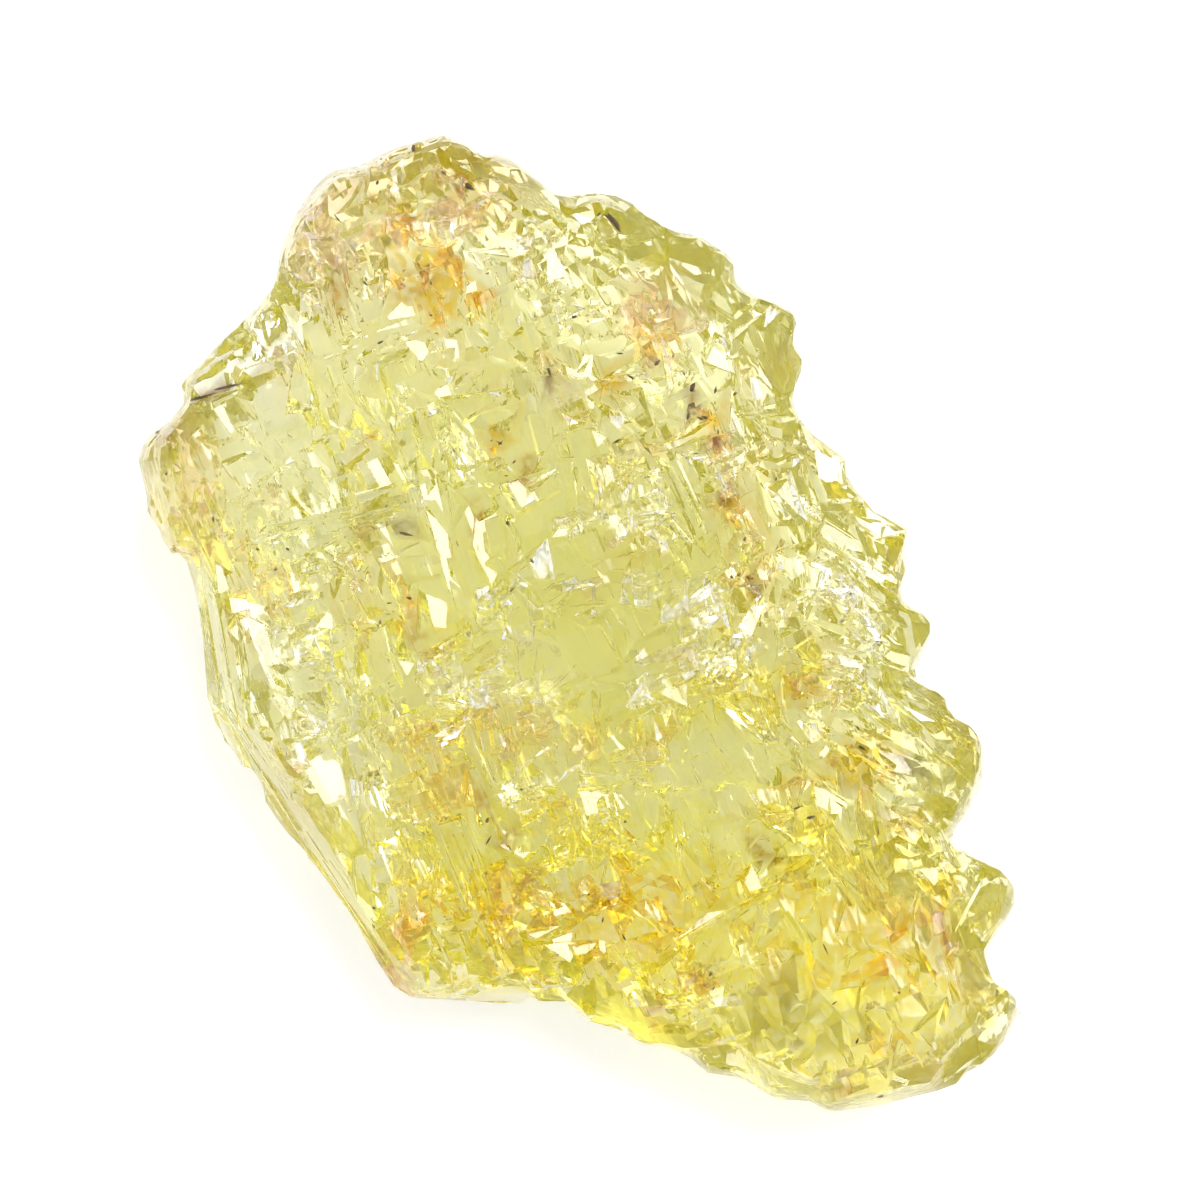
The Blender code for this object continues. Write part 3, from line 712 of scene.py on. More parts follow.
def lying(skin, x, y, heading, lean=0.0, way=0.0, sunk=0.0):
    """A matrix on the skin at a place in plan (mm): z leans out of the stone, x along heading."""
    hit = top_of(skin, x, y)[0]
    if hit is None:
        raise RuntimeError("no stone under %.1f, %.1f" % (x, y))
    tilt, way, heading = math.radians(lean), math.radians(way), math.radians(heading)
    axis = Vector((math.sin(tilt) * math.cos(way), math.sin(tilt) * math.sin(way), math.cos(tilt)))
    along = Vector((math.cos(heading), math.sin(heading), 0.0))
    along = (along - axis * along.dot(axis)).normalized()
    return Matrix.Translation(hit - axis * sunk * MM) @ turned(along, axis), hit


def facet_places(skin):
    """The clear facets, as cuts: the form stands on its head, its crown in the stone."""
    places = []
    over = Matrix.Rotation(math.pi, 4, "X")
    for (x, y), (length, width), heading, lean, way, depth in FACETS:
        matrix, hit = lying(skin, x, y, heading, lean, way, depth + FACET_DEEPER_MM)
        size = Matrix.Diagonal((length * MM / 2.0, width * MM / 2.0, 1.0, 1.0))
        reach = FACET_REACH * max(length, width) * MM / 2.0
        crown, foot = FACET_CROWN_MM * MM, FACET_FOOT_MM * MM
        places.append(Place("facet", matrix @ over @ size, crown, foot, reach, hit))
    return places


def rib_places(stone):
    """The ribs of every row, in stretches that lie on the etched stone from end to end."""
    places = []
    for (cx, cy), span, length, pitch, heading, rise in RIB_ROWS:
        a = math.radians(heading)
        ux, uy = math.cos(a), math.sin(a)
        stretches = max(1, round(length / RIB_STRETCH_MM))
        step = length / stretches
        for i, j in itertools.product(range(int(span / pitch) + 1), range(stretches)):
            off = i * pitch - span / 2.0
            run = (j + 0.5) * step - length / 2.0
            run += RIB_SWAY * step * math.sin(RIB_SWAY_BEAT * i)
            x, y = cx + ux * run - uy * off, cy + uy * run + ux * off
            tail, middle, head = (
                top_of(stone, x + ux * step * k, y + uy * step * k)[0] for k in (-0.5, 0.0, 0.5)
            )
            if tail is None or middle is None or head is None:
                continue
            along = (head - tail).normalized()
            if abs(along.z) > RIB_STEEPEST:
                continue
            axis = along.cross(Vector((-uy, ux, 0.0))).normalized()
            half = (head - tail).length * RIB_HALF
            dip = max(0.0, ((head + tail) / 2.0 - middle).dot(axis))
            size = Matrix.Diagonal((half, pitch * MM * RIB_HALF_WIDTH, 1.0, 1.0))
            matrix = Matrix.Translation((head + tail) / 2.0) @ turned(along, axis) @ size
            tall = rise * MM * (RIB_MEAN + RIB_SWING * math.sin(RIB_BEAT * i + j))
            tall, foot = max(tall, RIB_LEAST_MM * MM), dip + RIB_FOOT_MM * MM
            places.append(Place("rib", matrix, tall, foot, half * RIB_REACH, middle))
    return places


def in_batches(places):
    """Sorts places into batches whose forms keep clear of each other."""
    batches = []
    for place in places:
        reach, p = place.reach, place.at
        for batch, grid in batches:
            if all((q - p).length > reach + r for q, r in grid.near(p, reach + WIDEST_MM * MM)):
                break
        else:
            batch, grid = [], Grid(BATCH_CELL_MM * MM)
            batches.append((batch, grid))
        batch.append(place)
        grid.add(p, reach)
    return [batch for batch, _ in batches]


def etch_copy(place, form):
    """A copy of an etch form in its place, with its rise, its foot and its flare."""
    mesh = form.data.copy()
    flare = 1.0 if place.kind in UNFLARED else FLARE
    for point in mesh.vertices:
        if point.co.z > 0.0:
            point.co.z *= place.rise
        else:
            spread = 1.0 - point.co.z * (flare - 1.0)
            point.co = (point.co.x * spread, point.co.y * spread, point.co.z * place.sink)
    mesh.transform(place.matrix)
    return linked(place.kind, mesh)


def carve(crystal, forms, places, operation):
    """Raises or cuts the forms of all places."""
    for batch in in_batches(places):
        tool = joined([etch_copy(place, forms[place.kind]) for place in batch])
        modify(crystal, "BOOLEAN", operation=operation, solver="MANIFOLD", object=tool)
        bpy.data.objects.remove(tool, do_unlink=True)


def merged_copy(node):
    """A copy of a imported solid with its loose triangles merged."""
    copy = edit(linked("crystal", node.data.copy()))
    pick_all()
    bpy.ops.mesh.customdata_custom_splitnormals_clear()
    bpy.ops.mesh.remove_doubles(threshold=1.0e-7)
    bpy.ops.mesh.faces_shade_flat()
    leave_edit()
    return copy


def drop_crumbs(obj):
    """Keeps the main body alone: crumbs that the etching cut loose go."""
    only(obj)
    bpy.ops.mesh.separate(type="LOOSE")
    parts = sorted(bpy.context.selected_objects, key=lambda part: -len(part.data.polygons))
    for crumb in parts[1:]:
        bpy.data.objects.remove(crumb, do_unlink=True)
    return only(parts[0])


def worn(obj, settings):
    """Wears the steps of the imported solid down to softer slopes, as etching does."""
    modify(obj, "REMESH", mode="VOXEL", voxel_size=settings.wear_grain)
    modify(obj, "SMOOTH", factor=0.5, iterations=settings.wear)
    # each face of the voxel skin is two triangles
    modify(obj, "DECIMATE", ratio=min(1.0, settings.wear_faces / len(obj.data.polygons) / 2.0))


# ---- stains and inclusions ----

AMBER = (0.92, 0.73, 0.2)
ORANGE = (0.97, 0.75, 0.22)
RUST = (0.73, 0.54, 0.3)
BROWN = (0.5, 0.35, 0.18)
TAN = (0.95, 0.84, 0.7)
ROSE = (0.97, 0.86, 0.78)
STRAW = (0.985, 0.95, 0.54)
OLIVE = (0.84, 0.86, 0.55)
GREY = (0.84, 0.85, 0.84)

# Stains: middle and radii in plan (mm), turn (deg), colour and strength. Wide soft ones first.
STAINS = [
    ((0.8, -11.1), (8, 4), 0, STRAW, 0.95),
    ((11.6, -11.1), (5.5, 3.6), -30, STRAW, 1),
    ((-4.8, -9.9), (2.4, 5), 20, STRAW, 0.75),
    ((5.6, -3.1), (4.2, 1.3), 12, STRAW, 0.7),
    ((2.8, -14.2), (5, 2.4), -18, STRAW, 0.6),
    ((12, -15.4), (5.6, 3.4), 0, STRAW, 1),
    ((15.4, -5.5), (1.4, 3.4), 0, STRAW, 0.6),
    ((-10, 4.1), (3.2, 2.4), 0, OLIVE, 0.25),
    ((-7.6, 8), (3, 2.2), 0, OLIVE, 0.2),
    ((1, -11.4), (6.4, 1.8), 6, AMBER, 0.35),
    ((12.4, -12.2), (3.4, 2), -30, AMBER, 0.25),
    ((12, -15.4), (5.6, 3.4), 0, AMBER, 0.15),
    ((-16, 5.2), (1.6, 3), 8, AMBER, 0.15),
    ((-6, 18.4), (3, 1.4), -8, AMBER, 0.3),
    ((-15.9, 4.7), (1.9, 3.6), 8, TAN, 0.55),
    ((-6, 17.7), (5.2, 2.2), -8, TAN, 0.5),
    ((-9.4, 15.4), (2.2, 3), 0, ROSE, 0.55),
    ((-3, 17.2), (2.2, 1.5), 0, ROSE, 0.5),
    ((-11.6, -6.9), (1.2, 3.2), 26, TAN, 0.5),
    ((3, 12.6), (2.4, 1.6), 0, ROSE, 0.55),
    ((8.8, -15.8), (2.7, 1.3), -14, GREY, 0.9),
    ((-5.9, 13.7), (1.45, 1.4), 20, AMBER, 1),
    ((-6.3, 13.6), (0.9, 0.6), 45, RUST, 0.8),
    ((-5.5, 12.2), (0.7, 0.6), 0, ORANGE, 1),
    ((-3.9, 12.8), (0.7, 0.6), 0, ORANGE, 1),
    ((-7.2, 15.7), (0.7, 0.9), -30, AMBER, 0.95),
    ((-9.7, 13.1), (0.6, 1), 0, RUST, 0.9),
    ((3, 11.2), (0.8, 0.9), 0, ORANGE, 0.65),
    ((1.1, 9.8), (0.6, 0.6), 0, AMBER, 0.9),
    ((2.8, 10.2), (0.4, 0.4), 0, RUST, 0.9),
    ((5.4, 7.6), (0.5, 0.9), 10, ORANGE, 1),
    ((5.3, 7.2), (0.4, 0.4), 0, RUST, 0.9),
    ((4.4, 8.9), (0.28, 0.8), -8, BROWN, 1),
    ((-1.2, 9.5), (0.16, 0.7), 8, BROWN, 0.9),
    ((-3.3, 7.2), (0.45, 0.8), 12, AMBER, 0.9),
    ((-2.1, 5.9), (0.45, 0.9), -8, RUST, 0.75),
    ((-7.2, -0.3), (0.4, 0.4), 0, ORANGE, 1),
    ((-6.2, -0.8), (0.9, 0.45), -20, RUST, 0.85),
    ((-5.2, -0.2), (1, 0.9), 0, STRAW, 0.9),
    ((-6.6, 0.6), (0.4, 0.4), 0, ORANGE, 0.8),
    ((-7.4, -13.4), (1.2, 1.8), 0, AMBER, 0.9),
    ((-7.7, -14), (0.8, 1), 0, RUST, 0.8),
    ((-6.8, -11.9), (0.9, 0.5), 10, ORANGE, 0.8),
    ((-4, -7), (0.35, 0.4), 0, RUST, 0.9),
    ((-2.9, -8.6), (0.35, 0.5), -30, RUST, 0.9),
    ((-2.2, -10.1), (0.35, 0.5), -30, RUST, 0.9),
    ((1.2, -11.5), (0.3, 0.9), -10, RUST, 0.8),
    ((4.8, -14.1), (0.6, 0.4), 20, RUST, 0.9),
    ((3, -15.7), (0.5, 0.6), 0, RUST, 0.9),
    ((8.5, -2.8), (1, 0.6), 16, AMBER, 0.85),
    ((11.3, -5.4), (1.5, 1), 20, AMBER, 1),
    ((12.9, -5.5), (0.6, 0.8), 30, BROWN, 0.7),
    ((9, -6.2), (1.4, 0.4), 10, AMBER, 0.7),
    ((7.2, -9), (0.5, 0.8), 30, BROWN, 0.75),
    ((11.8, -16.9), (0.3, 0.8), 0, AMBER, 1),
    ((10.7, -18.3), (0.4, 0.7), -30, RUST, 1),
    ((12.4, -13), (0.6, 0.9), -30, ORANGE, 0.7),
    ((14.2, -12.4), (1.2, 0.8), -20, TAN, 0.8),
    ((6.9, 1.4), (0.25, 0.7), 16, BROWN, 0.95),
    ((5.8, 4.7), (0.3, 0.3), 0, BROWN, 0.9),
    ((6.1, 4.4), (1.2, 0.6), 0, AMBER, 0.6),
    ((-4, 3.9), (0.3, 0.7), 10, RUST, 0.95),
    ((-7, 3.6), (0.8, 0.26), -8, BROWN, 0.8),
    ((-8.4, 7.4), (0.4, 0.4), 0, RUST, 0.7),
    ((-14.8, 9.1), (1.3, 0.24), 16, BROWN, 0.85),
    ((-16.6, 7.4), (0.6, 0.4), 30, RUST, 0.7),
    ((-15.2, 3), (0.3, 0.8), 20, RUST, 0.7),
    ((13.3, -7.8), (1.2, 0.4), 20, TAN, 0.8),
]

# Stains whose radii add up to more than this are wide: they tint what the local ones cover.
WIDE_MM = 3.0
# Rim of a spot against its radii: where it ends, how wide it is, and how far ragged ones reach.
RIM, RIM_WIDTH, FARTHEST = 1.25, 0.6, 1.5
# How ragged the rims are, coarse and fine: swing and grains for each mm.
RAGGED = (0.45, 0.9), (0.2, 2.6)
# Drifts of the iron film: grains for each mm, where they begin, their slope and their share.
FILM_GRAIN, FILM_FROM, FILM_SLOPE, FILM_SHARE = 0.34, 0.1, 0.4, 0.6
# How low stains reach, and the frosted band round the foot of the stone: its top and height.
STAIN_LOW_MM, FOOT_TOP_MM, FOOT_BAND_MM, FOOT_FROST = 3.2, 4.2, 1.6, 0.75

# Frosted places: middle and radii in plan (mm), turn (deg) and strength.
FROST = [
    ((-7.2, 16.6), (5.6, 3), -8, 0.3),
    ((-16.2, 5.2), (1.8, 3.4), 8, 0.4),
    ((0.4, -0.2), (4.4, 3.6), 15, 0.45),
    ((8.8, -15.8), (3, 1.8), -14, 1),
    ((11, -14.6), (6, 4.4), 0, 0.45),
    ((-10.2, -10), (2, 3.4), 26, 0.2),
    ((4, 13.4), (3, 2), 0, 0.4),
]

# Dark specks: place in plan, length and width (mm), and heading (deg).
SPECKS = [
    ((-6.6, 18.8), (0.42, 0.26), 60), ((-5.4, 17.8), (0.24, 0.2), 0),
    ((-4.4, 17.3), (0.5, 0.28), -40), ((-8, 17.4), (0.22, 0.12), 70),
    ((-9.6, 16), (0.52, 0.08), -66), ((-0.2, 12.1), (0.24, 0.14), 0),
    ((1.5, 7.2), (0.34, 0.16), 40), ((-3.6, -8.6), (0.44, 0.08), 60),
    ((-3.7, -9.9), (0.16, 0.12), 0), ((-2.3, -6.6), (0.18, 0.12), 80),
    ((-12.8, 2.9), (0.2, 0.12), 0), ((-12.1, 2.1), (0.18, 0.1), 20),
    ((-11.6, 2.9), (0.18, 0.1), -40), ((-11.9, 9.9), (0.14, 0.1), 0),
    ((-11.5, 9.8), (0.12, 0.1), 0), ((11.2, -5), (0.36, 0.14), -30),
    ((6.3, 1.9), (0.22, 0.16), 80), ((6, 1.8), (0.18, 0.12), 80),
    ((4.5, 9.4), (0.5, 0.18), 70), ((4.3, 8.2), (0.4, 0.16), 66),
    ((-1.2, 9.9), (0.46, 0.12), -72), ((12.6, -14.6), (0.14, 0.1), 0),
    ((-14, 9.4), (1.3, 0.13), 14), ((-15, 9), (1.1, 0.12), 18),
    ((-6.9, 3.5), (0.6, 0.14), -12), ((-5, 6.8), (0.16, 0.1), 0),
    ((8.6, -7.3), (0.4, 0.1), 20), ((1.8, -7.9), (0.12, 0.1), 0),
    ((-16.9, 7.6), (0.24, 0.14), 50), ((-16.4, 5.9), (0.2, 0.14), 0),
    ((-16.2, 2.9), (0.26, 0.14), -50), ((-14.6, 4.1), (0.3, 0.12), 70),
    ((9.7, -12.9), (0.5, 0.06), -66), ((-8.2, -11.4), (0.2, 0.12), 0),
]
# Height of a speck and of the needle against the width.
SPECK_HEIGHT = 0.35
# Scattered specks: how many, how far they stray, their lengths, and widths against lengths.
SPECK_COUNT, SPECK_SEED = 60, 4
SPECK_STRAY_MM, SPECK_LENGTHS, SPECK_WIDTHS = 0.3, (0.12, 0.36), (0.2, 0.5)
# The needle, as a row like those of SPECKS.
NEEDLE = ((1.3, 15.9), (0.95, 0.2), -50)

# The floor, and the camera straight above the stone with the width that it sees (metres).
FLOOR_SIZE, FLOOR_AT = 3.0, -0.02 * MM
CAMERA_AT, CAMERA_DISTANCE, VIEW_WIDTH, SENSOR_MM = (0.8 * MM, 0.88 * MM, 0.305), 0.3, 0.048, 36.0
# Faces that meet at less than these angles are shaded as one.
STONE_SMOOTH_DEG, SPECK_SMOOTH_DEG = 18.0, 35.0
# The softbox: the way to it from the stone, and how far from there its core and rim reach.
SOFTBOX_WAY = (0.16, 0.20, 0.34)
SOFTBOX_CORE_DEG, SOFTBOX_RIM_DEG = 15.0, 22.0


def smoothstep(t):
    """Eases a share from 0 to 1."""
    t = min(max(t, 0.0), 1.0)
    return t * t * (3.0 - 2.0 * t)


def cover(place, x, y, ragged):
    """How much of a spot reaches a point in plan (mm), from 0 to 1; its rim is ragged."""
    (cx, cy), radii = place[:2]
    if max(abs(x - cx), abs(y - cy)) > FARTHEST * max(radii):
        return 0.0
    return smoothstep((RIM + ragged - math.hypot(*in_ellipse(place, x, y))) / RIM_WIDTH)


def stained(x, y, ragged):
    """The colour of the stains at a place in plan (mm)."""
    wide, near = [1.0, 1.0, 1.0], None
    for place in STAINS:
        share = cover(place, x, y, ragged) * place[4]
        if share <= 0.0:
            continue
        if sum(place[1]) > WIDE_MM:
            wide = [w * (1.0 + (c - 1.0) * share) for w, c in zip(wide, place[3])]
        else:
            near = [w + (c - w) * share for w, c in zip(near or wide, place[3])]
    return near or wide


def paint(mesh, beryl):
    """Writes the stains and the frost of each point of the skin as attributes."""
    colours, frosts = [], []
    for point in mesh.vertices:
        p = point.co
        x, y = p.x / MM, p.y / MM
        ragged = sum(swing * noise.noise(p * (grain / MM)) for swing, grain in RAGGED)
        stain, frosted = [1.0, 1.0, 1.0], 0.0
        if p.z > STAIN_LOW_MM * MM:
            stain = stained(x, y, ragged)
            frosted = max(cover(place, x, y, ragged) * place[3] for place in FROST)
        film = smoothstep((noise.noise(p * (FILM_GRAIN / MM)) - FILM_FROM) / FILM_SLOPE)
        film *= FILM_SHARE
        # squared, because a see-through face is tinted by the root of its colour
        colours.extend((c * (1.0 + (f - 1.0) * film)) ** 2 for c, f in zip(stain, beryl.film))
        colours.append(1.0)
        low = smoothstep((FOOT_TOP_MM * MM - p.z) / (FOOT_BAND_MM * MM))
        frosts.append(max(frosted, FOOT_FROST * low))
    for name, kind, key, values in (
        ("stain", "FLOAT_COLOR", "color", colours),
        ("frost", "FLOAT", "value", frosts),
    ):
        mesh.attributes.new(name, kind, "POINT")
        mesh.attributes[name].data.foreach_set(key, values)


def speck_form():
    """A thin splinter with a blunt head, long along x."""
    clear_selection()
    bpy.ops.mesh.primitive_ico_sphere_add(subdivisions=2, radius=1.0)
    form = bpy.context.object
    edit_points(form, lambda co: co.x > 0.2)
    resize(y=0.55, z=0.7)
    edit_points(form, lambda co: co.x < -0.7)
    resize(0.8, 1.2, 1.1)
    leave_edit()
    return form


def scattered_specks(skin):
    """Tiny specks strewn in and round the local stains, as rows like those of SPECKS."""
    pick = random.Random(SPECK_SEED)
    local = [place for place in STAINS if sum(place[1]) < WIDE_MM]
    rows = []
    while len(rows) < SPECK_COUNT:
        (cx, cy), (rx, ry), *_ = pick.choice(local)
        x, y = pick.gauss(cx, rx + SPECK_STRAY_MM), pick.gauss(cy, ry + SPECK_STRAY_MM)
        if not over_stone(skin, Vector((x, y, 0.0)) * MM):
            continue
        length = pick.uniform(*SPECK_LENGTHS)
        width = length * pick.uniform(*SPECK_WIDTHS)
        rows.append(((x, y), (length, width), pick.uniform(0.0, 180.0)))
    return rows


def needle_form():
    """A bent needle, long along x."""
    clear_selection()
    bpy.ops.mesh.primitive_cylinder_add(vertices=7, radius=1.0, depth=2.0)
    form = edit(bpy.context.object)
    pick_all()
    bpy.ops.transform.rotate(value=math.pi / 2, orient_axis="Y", center_override=(0.0, 0.0, 0.0))
    for cut_at in (-0.5, 0.0, 0.5):
        pick_all()
        bpy.ops.mesh.bisect(plane_co=(cut_at, 0.0, 0.0), plane_no=(1.0, 0.0, 0.0))
    edit_points(form, lambda co: abs(co.x) < 0.6)
    move(y=0.5)
    edit_points(form, lambda co: abs(co.x) < 0.1)
    move(y=0.3)
    edit_points(form, lambda co: co.x > 0.9)
    resize(y=0.35, z=0.35)
    leave_edit()
    return form


def iron_material(beryl):
    """Dull iron oxide, from brown to near black."""
    mat, tree, shader = new_material("iron_oxide")
    shader.inputs["Roughness"].default_value = 0.65
    coords = add_node(tree, "TexCoord")
    grain = add_node(tree, "TexNoise", {"Scale": 2200.0})
    ramp = add_node(tree, "ValToRGB")
    dark, light = ramp.color_ramp.elements
    dark.position, dark.color = 0.35, (0.035, 0.022, 0.012, 1.0)
    light.position, light.color = 0.75, (*beryl.iron, 1.0)
    bump = add_node(tree, "Bump", {"Strength": 0.4, "Distance": 0.02 * MM})
    wire(
        tree,
        (coords, "Object", grain, "Vector"),
        (grain, "Fac", ramp, "Fac"),
        (ramp, "Color", shader, "Base Color"),
        (grain, "Fac", bump, "Height"),
        (bump, "Normal", shader, "Normal"),
    )
    return mat


# ---- beryl ----


def beryl_material(beryl, axis):
    """Clear yellow beryl: stained, frosted in places and finely grooved along its axis."""
    mat, tree, shader = new_material("heliodor")
    shader.inputs["IOR"].default_value = beryl.ior
    shader.inputs["Transmission Weight"].default_value = 1.0
    clear = {"Color": (*beryl.tint, 1.0), "Density": beryl.depth}
    absorb = add_node(tree, "VolumeAbsorption", clear)
    coords = add_node(tree, "TexCoord")
    wire(tree, (absorb, "Volume", tree.nodes["Material Output"], "Volume"))

    # iron stains, finely mottled
    stain = add_node(tree, "Attribute", attribute_name="stain")
    mottle = add_node(tree, "TexNoise", {"Scale": 2400.0, "Detail": 0.0})
    patchy = add_node(tree, "MapRange", {"From Min": 0.3, "From Max": 0.55, "To Min": 0.45})
    local = add_node(tree, "Mix", {MIX_A: (1.0, 1.0, 1.0, 1.0)}, data_type="RGBA")
    wire(
        tree,
        (coords, "Object", mottle, "Vector"),
        (mottle, "Fac", patchy, "Value"),
        (patchy, "Result", local, MIX_SHARE),
        (stain, "Color", local, MIX_B),
        (local, MIX_COLOUR, shader, "Base Color"),
    )

    # frosted places are rough, and every face is a little uneven
    frost = add_node(tree, "Attribute", attribute_name="frost")
    ends = {"To Min": beryl.clear_roughness, "To Max": beryl.frosted_roughness}
    rough = add_node(tree, "MapRange", ends)
    uneven = add_node(tree, "Math", {1: 0.08}, operation="MULTIPLY_ADD")
    wire(
        tree,
        (frost, "Fac", rough, "Value"),
        (mottle, "Fac", uneven, 0),
        (rough, "Result", uneven, 2),
        (uneven, "Value", shader, "Roughness"),
    )

    # fine grooves along the axis, deeper where the skin is frosted
    turn = {"Rotation": (0.0, 0.0, axis), "Scale": (7.0, 1.0, 1.0)}
    lay = add_node(tree, "Mapping", turn, vector_type="TEXTURE")
    grooves = add_node(tree, "TexNoise", {"Scale": 3600.0, "Detail": 0.0})
    bump = add_node(tree, "Bump", {"Distance": 0.07 * MM})
    depth = add_node(tree, "MapRange", {"To Min": 0.3, "To Max": 1.0})
    wire(
        tree,
        (coords, "Object", lay, "Vector"),
        (lay, "Vector", grooves, "Vector"),
        (frost, "Fac", depth, "Value"),
        (depth, "Result", bump, "Strength"),
        (grooves, "Fac", bump, "Height"),
        (bump, "Normal", shader, "Normal"),
    )
    return mat


def finish_crystal(crystal):
    """Stains and frosts the crystal and gives it its material."""
    scene = bpy.context.scene
    paint(crystal.data, scene.heliodor_beryl)
    crystal.data.materials.clear()
    axis = scene.heliodor_etching.c_axis
    crystal.data.materials.append(beryl_material(scene.heliodor_beryl, axis))


def studio_light(stage):
    """Even light from all round, with the soft round patch of one softbox in it."""
    world = bpy.data.worlds.new("studio")
    world.use_nodes = True
    world.cycles.sampling_method = "NONE"
    tree = world.node_tree
    background = tree.nodes["Background"]
    background.inputs["Color"].default_value = (1.0, 1.0, 1.0, 1.0)
    coords = add_node(tree, "TexCoord")
    way = Vector(SOFTBOX_WAY).normalized()
    facing = add_node(tree, "VectorMath", {1: way}, operation="DOT_PRODUCT")
    span = {
        "From Min": math.cos(math.radians(SOFTBOX_RIM_DEG)),
        "From Max": math.cos(math.radians(SOFTBOX_CORE_DEG)),
        "To Min": stage.sky,
        "To Max": stage.softbox,
    }
    patch = add_node(tree, "MapRange", span, interpolation_type="SMOOTHSTEP")
    wire(
        tree,
        (coords, "Generated", facing, 0),
        (facing, "Value", patch, "Value"),
        (patch, "Result", background, "Strength"),
    )
    return world


# ---- settings ----


class EtchingSettings(bpy.types.PropertyGroup):
    c_axis: bpy.props.FloatProperty(
        name="C axis", description="Direction in plan of the crystal's long axis",
        default=math.radians(-69.0), subtype="ANGLE",
    )
    tooth_axis: bpy.props.FloatProperty(
        name="Tooth axis",
        description="Direction in plan of the ribs behind the teeth of the right flank",
        default=math.radians(-27.0), subtype="ANGLE",
    )
    wear_grain: bpy.props.FloatProperty(
        name="Grain of wear",
        description="Cell size of the skin that is worn down before it is etched",
        default=0.34 * MM, subtype="DISTANCE", unit="LENGTH",
    )
    wear: bpy.props.IntProperty(
        name="Wear", description="Rounds of smoothing of the packed steps", default=3
    )
    wear_faces: bpy.props.IntProperty(
        name="Faces of the worn skin",
        description="Triangles left in the skin before it is etched", default=12000,
    )
    seed: bpy.props.IntProperty(
        name="Seed", description="Chooses one scatter of the etched forms", default=11
    )


class BerylSettings(bpy.types.PropertyGroup):
    tint: bpy.props.FloatVectorProperty(
        name="Tint", description="Colour that the stone lets through", subtype="COLOR", size=3,
        min=0.0, max=1.0, default=(0.914, 0.90, 0.29),
    )
    depth: bpy.props.FloatProperty(
        name="Depth of tint",
        description="How quickly the stone takes up colour, for each metre of light path",
        default=140.0, min=0.0,
    )
    ior: bpy.props.FloatProperty(
        name="Refractive index", description="Refractive index of beryl", default=1.575
    )
    clear_roughness: bpy.props.FloatProperty(
        name="Roughness of clear faces", description="Roughness of glassy faces", default=0.02
    )
    frosted_roughness: bpy.props.FloatProperty(
        name="Roughness of frosted faces", description="Roughness of frosted faces", default=0.40
    )
    film: bpy.props.FloatVectorProperty(
        name="Iron film", description="Tint of the thin iron film that drifts over the skin",
        subtype="COLOR", size=3, min=0.0, max=1.0, default=(0.96, 0.86, 0.66),
    )
    iron: bpy.props.FloatVectorProperty(
        name="Iron oxide", description="Colour of the lighter grains of the dark specks",
        subtype="COLOR", size=3, min=0.0, max=1.0, default=(0.16, 0.085, 0.03),
    )


class StageSettings(bpy.types.PropertyGroup):
    floor_colour: bpy.props.FloatVectorProperty(
        name="Floor colour", description="Colour of the floor", subtype="COLOR", size=3, min=0.0,
        max=1.0, default=(0.8, 0.8, 0.8),
    )
    floor_glow: bpy.props.FloatProperty(
        name="Floor glow", description="Light that the floor gives off by itself", default=0.35
    )
    sky: bpy.props.FloatProperty(
        name="Sky", description="Brightness of the light from all round", default=0.89
    )
    softbox: bpy.props.FloatProperty(
        name="Softbox", description="Brightness of the softbox", default=11.0
    )


class HELIODOR_OT_crystal(bpy.types.Operator):
    """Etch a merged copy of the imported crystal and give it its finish"""

    bl_idname = "heliodor.crystal"
    bl_label = "Etched crystal"

    def execute(self, context):
        etching = context.scene.heliodor_etching
        crystal = merged_copy(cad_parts[NODE])
        worn(crystal, etching)
        skin = skin_of(crystal)
        forms = {name: make() for name, make in FORMS.items()}
        for number, step in enumerate(PASSES):
            places = etch_places(skin, crystal.data, step, etching, etching.seed + number)
            carve(crystal, forms, places, step.operation)
            if number == FACETS_AFTER:
                carve(crystal, forms, facet_places(skin), "DIFFERENCE")
        carve(crystal, forms, rib_places(skin_of(crystal)), "UNION")
        crystal = drop_crumbs(crystal)
        for form in forms.values():
            bpy.data.objects.remove(form, do_unlink=True)
        crystal.name = "etched_crystal"
        only(crystal)
        bpy.ops.object.shade_smooth_by_angle(angle=math.radians(STONE_SMOOTH_DEG))
        finish_crystal(crystal)
        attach(crystal, BODY)
        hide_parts(NODE)
        return {"FINISHED"}


class HELIODOR_OT_inclusions(bpy.types.Operator):
    """Set the dark specks and the needle half into the skin of the crystal"""

    bl_idname = "heliodor.inclusions"
    bl_label = "Specks and needle"

    def execute(self, context):
        crystal = bpy.data.objects["etched_crystal"]
        skin = skin_of(crystal)
        speck, needle = speck_form(), needle_form()
        rows = [(speck, row) for row in SPECKS + scattered_specks(skin)] + [(needle, NEEDLE)]
        copies = []
        for form, ((x, y), (length, width), heading) in rows:
            normal = top_of(skin, x, y)[1]
            lean = math.degrees(math.acos(min(1.0, normal.z)))
            way = math.degrees(math.atan2(normal.y, normal.x))
            matrix = lying(skin, x, y, heading, lean, way)[0]
            height = width * MM * SPECK_HEIGHT
            half = Matrix.Diagonal((length * MM / 2, width * MM / 2, height, 1.0))
            mesh = form.data.copy()
            mesh.transform(matrix @ half)
            copies.append(linked("speck", mesh))
        for form in (speck, needle):
            bpy.data.objects.remove(form, do_unlink=True)
        specks = joined(copies)
        specks.name = "iron_specks"
        specks.data.materials.append(iron_material(context.scene.heliodor_beryl))
        only(specks)
        bpy.ops.object.shade_smooth_by_angle(angle=math.radians(SPECK_SMOOTH_DEG))
        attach(specks, BODY)
        return {"FINISHED"}


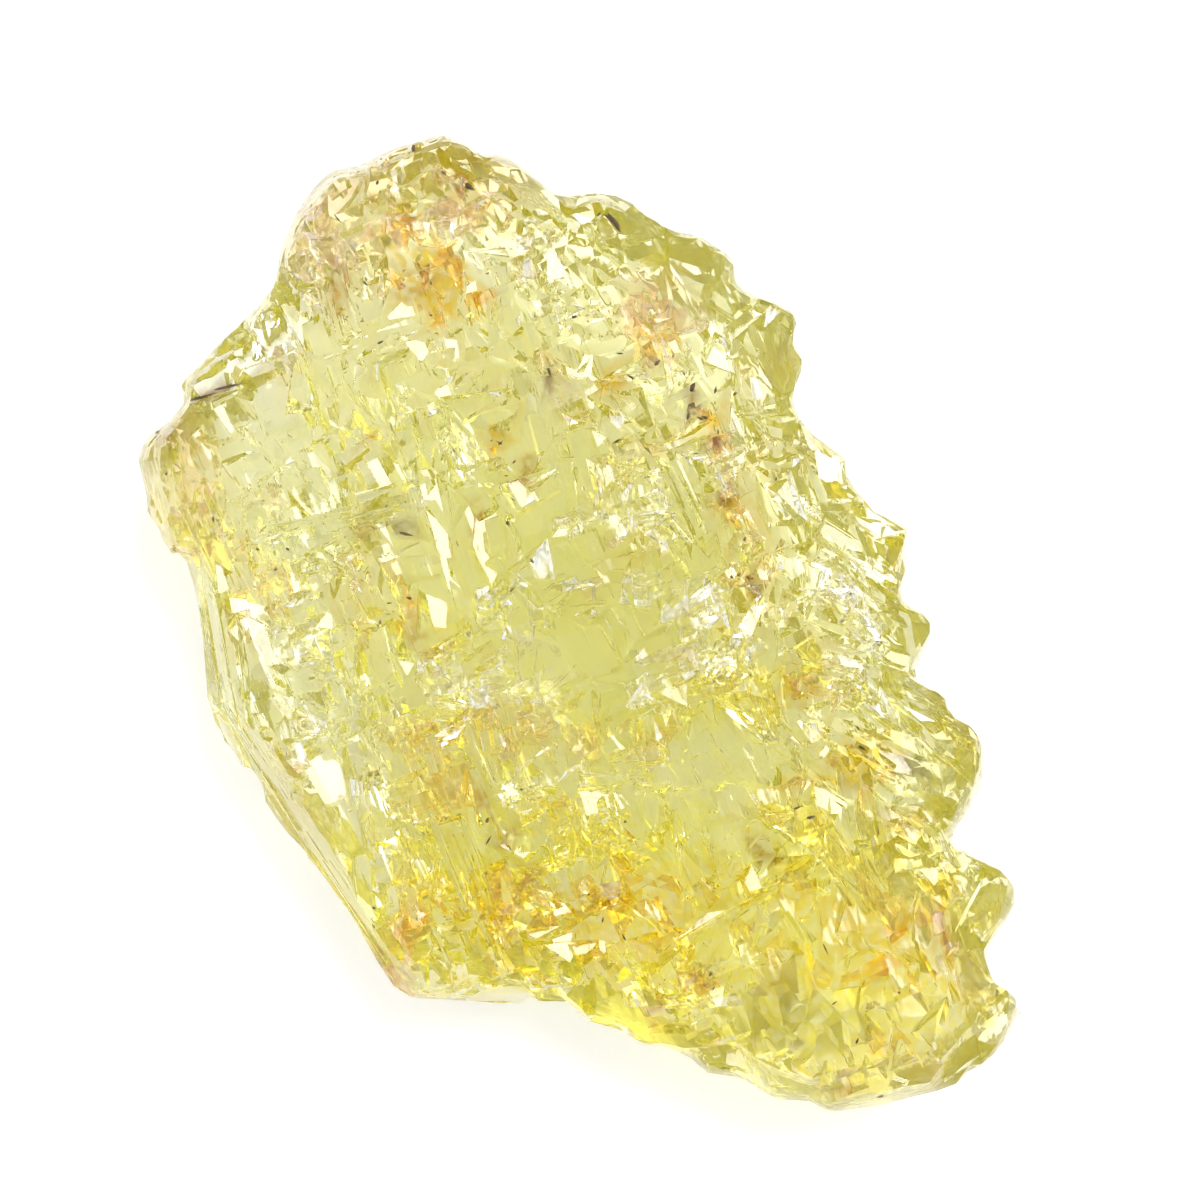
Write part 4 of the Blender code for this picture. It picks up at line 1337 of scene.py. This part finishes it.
class HELIODOR_OT_stage(bpy.types.Operator):
    """Lay the floor and set the light from all round and the camera"""

    bl_idname = "heliodor.stage"
    bl_label = "Stage"

    def execute(self, context):
        stage = context.scene.heliodor_stage
        clear_selection()
        bpy.ops.mesh.primitive_plane_add(size=FLOOR_SIZE, location=(0.0, 0.0, FLOOR_AT))
        floor = context.object
        floor.name = "floor"
        mat, _, shader = new_material("floor")
        shader.inputs["Base Color"].default_value = (*stage.floor_colour, 1.0)
        shader.inputs["Roughness"].default_value = 0.9
        shader.inputs["Emission Color"].default_value = (1.0, 1.0, 1.0, 1.0)
        shader.inputs["Emission Strength"].default_value = stage.floor_glow
        mat.cycles.emission_sampling = "NONE"
        floor.data.materials.append(mat)

        scene = context.scene
        scene.world = studio_light(stage)
        clear_selection()
        bpy.ops.object.camera_add(location=CAMERA_AT, rotation=(0.0, 0.0, 0.0))
        camera = context.object
        camera.data.sensor_width = SENSOR_MM
        camera.data.lens = SENSOR_MM * CAMERA_DISTANCE / VIEW_WIDTH
        camera.data.clip_start = 0.01
        scene.camera = camera
        scene.view_settings.view_transform = "Standard"
        scene.cycles.max_bounces = 16
        scene.cycles.transmission_bounces = 16
        scene.cycles.glossy_bounces = 8
        scene.cycles.use_light_tree = False
        return {"FINISHED"}


class HELIODOR_PT_panel(bpy.types.Panel):
    bl_label = "Heliodor specimen"
    bl_idname = "HELIODOR_PT_panel"
    bl_space_type = "VIEW_3D"
    bl_region_type = "UI"
    bl_category = "Heliodor"

    def draw(self, context):
        scene = context.scene
        for title, group in (
            ("Etching", scene.heliodor_etching),
            ("Beryl", scene.heliodor_beryl),
            ("Stage", scene.heliodor_stage),
        ):
            box = self.layout.box()
            box.label(text=title)
            for name in group.__annotations__:
                box.prop(group, name)
        for operator in OPERATORS:
            self.layout.operator(operator.bl_idname)


GROUPS = (EtchingSettings, BerylSettings, StageSettings)
OPERATORS = (HELIODOR_OT_crystal, HELIODOR_OT_inclusions, HELIODOR_OT_stage)


def register():
    for cls in GROUPS + OPERATORS + (HELIODOR_PT_panel,):
        bpy.utils.register_class(cls)
    bpy.types.Scene.heliodor_etching = bpy.props.PointerProperty(type=EtchingSettings)
    bpy.types.Scene.heliodor_beryl = bpy.props.PointerProperty(type=BerylSettings)
    bpy.types.Scene.heliodor_stage = bpy.props.PointerProperty(type=StageSettings)


def unregister():
    del bpy.types.Scene.heliodor_stage
    del bpy.types.Scene.heliodor_beryl
    del bpy.types.Scene.heliodor_etching
    for cls in reversed(GROUPS + OPERATORS + (HELIODOR_PT_panel,)):
        bpy.utils.unregister_class(cls)


def main():
    register()
    bpy.ops.heliodor.crystal()
    bpy.ops.heliodor.inclusions()
    bpy.ops.heliodor.stage()


if __name__ == "__main__":
    main()
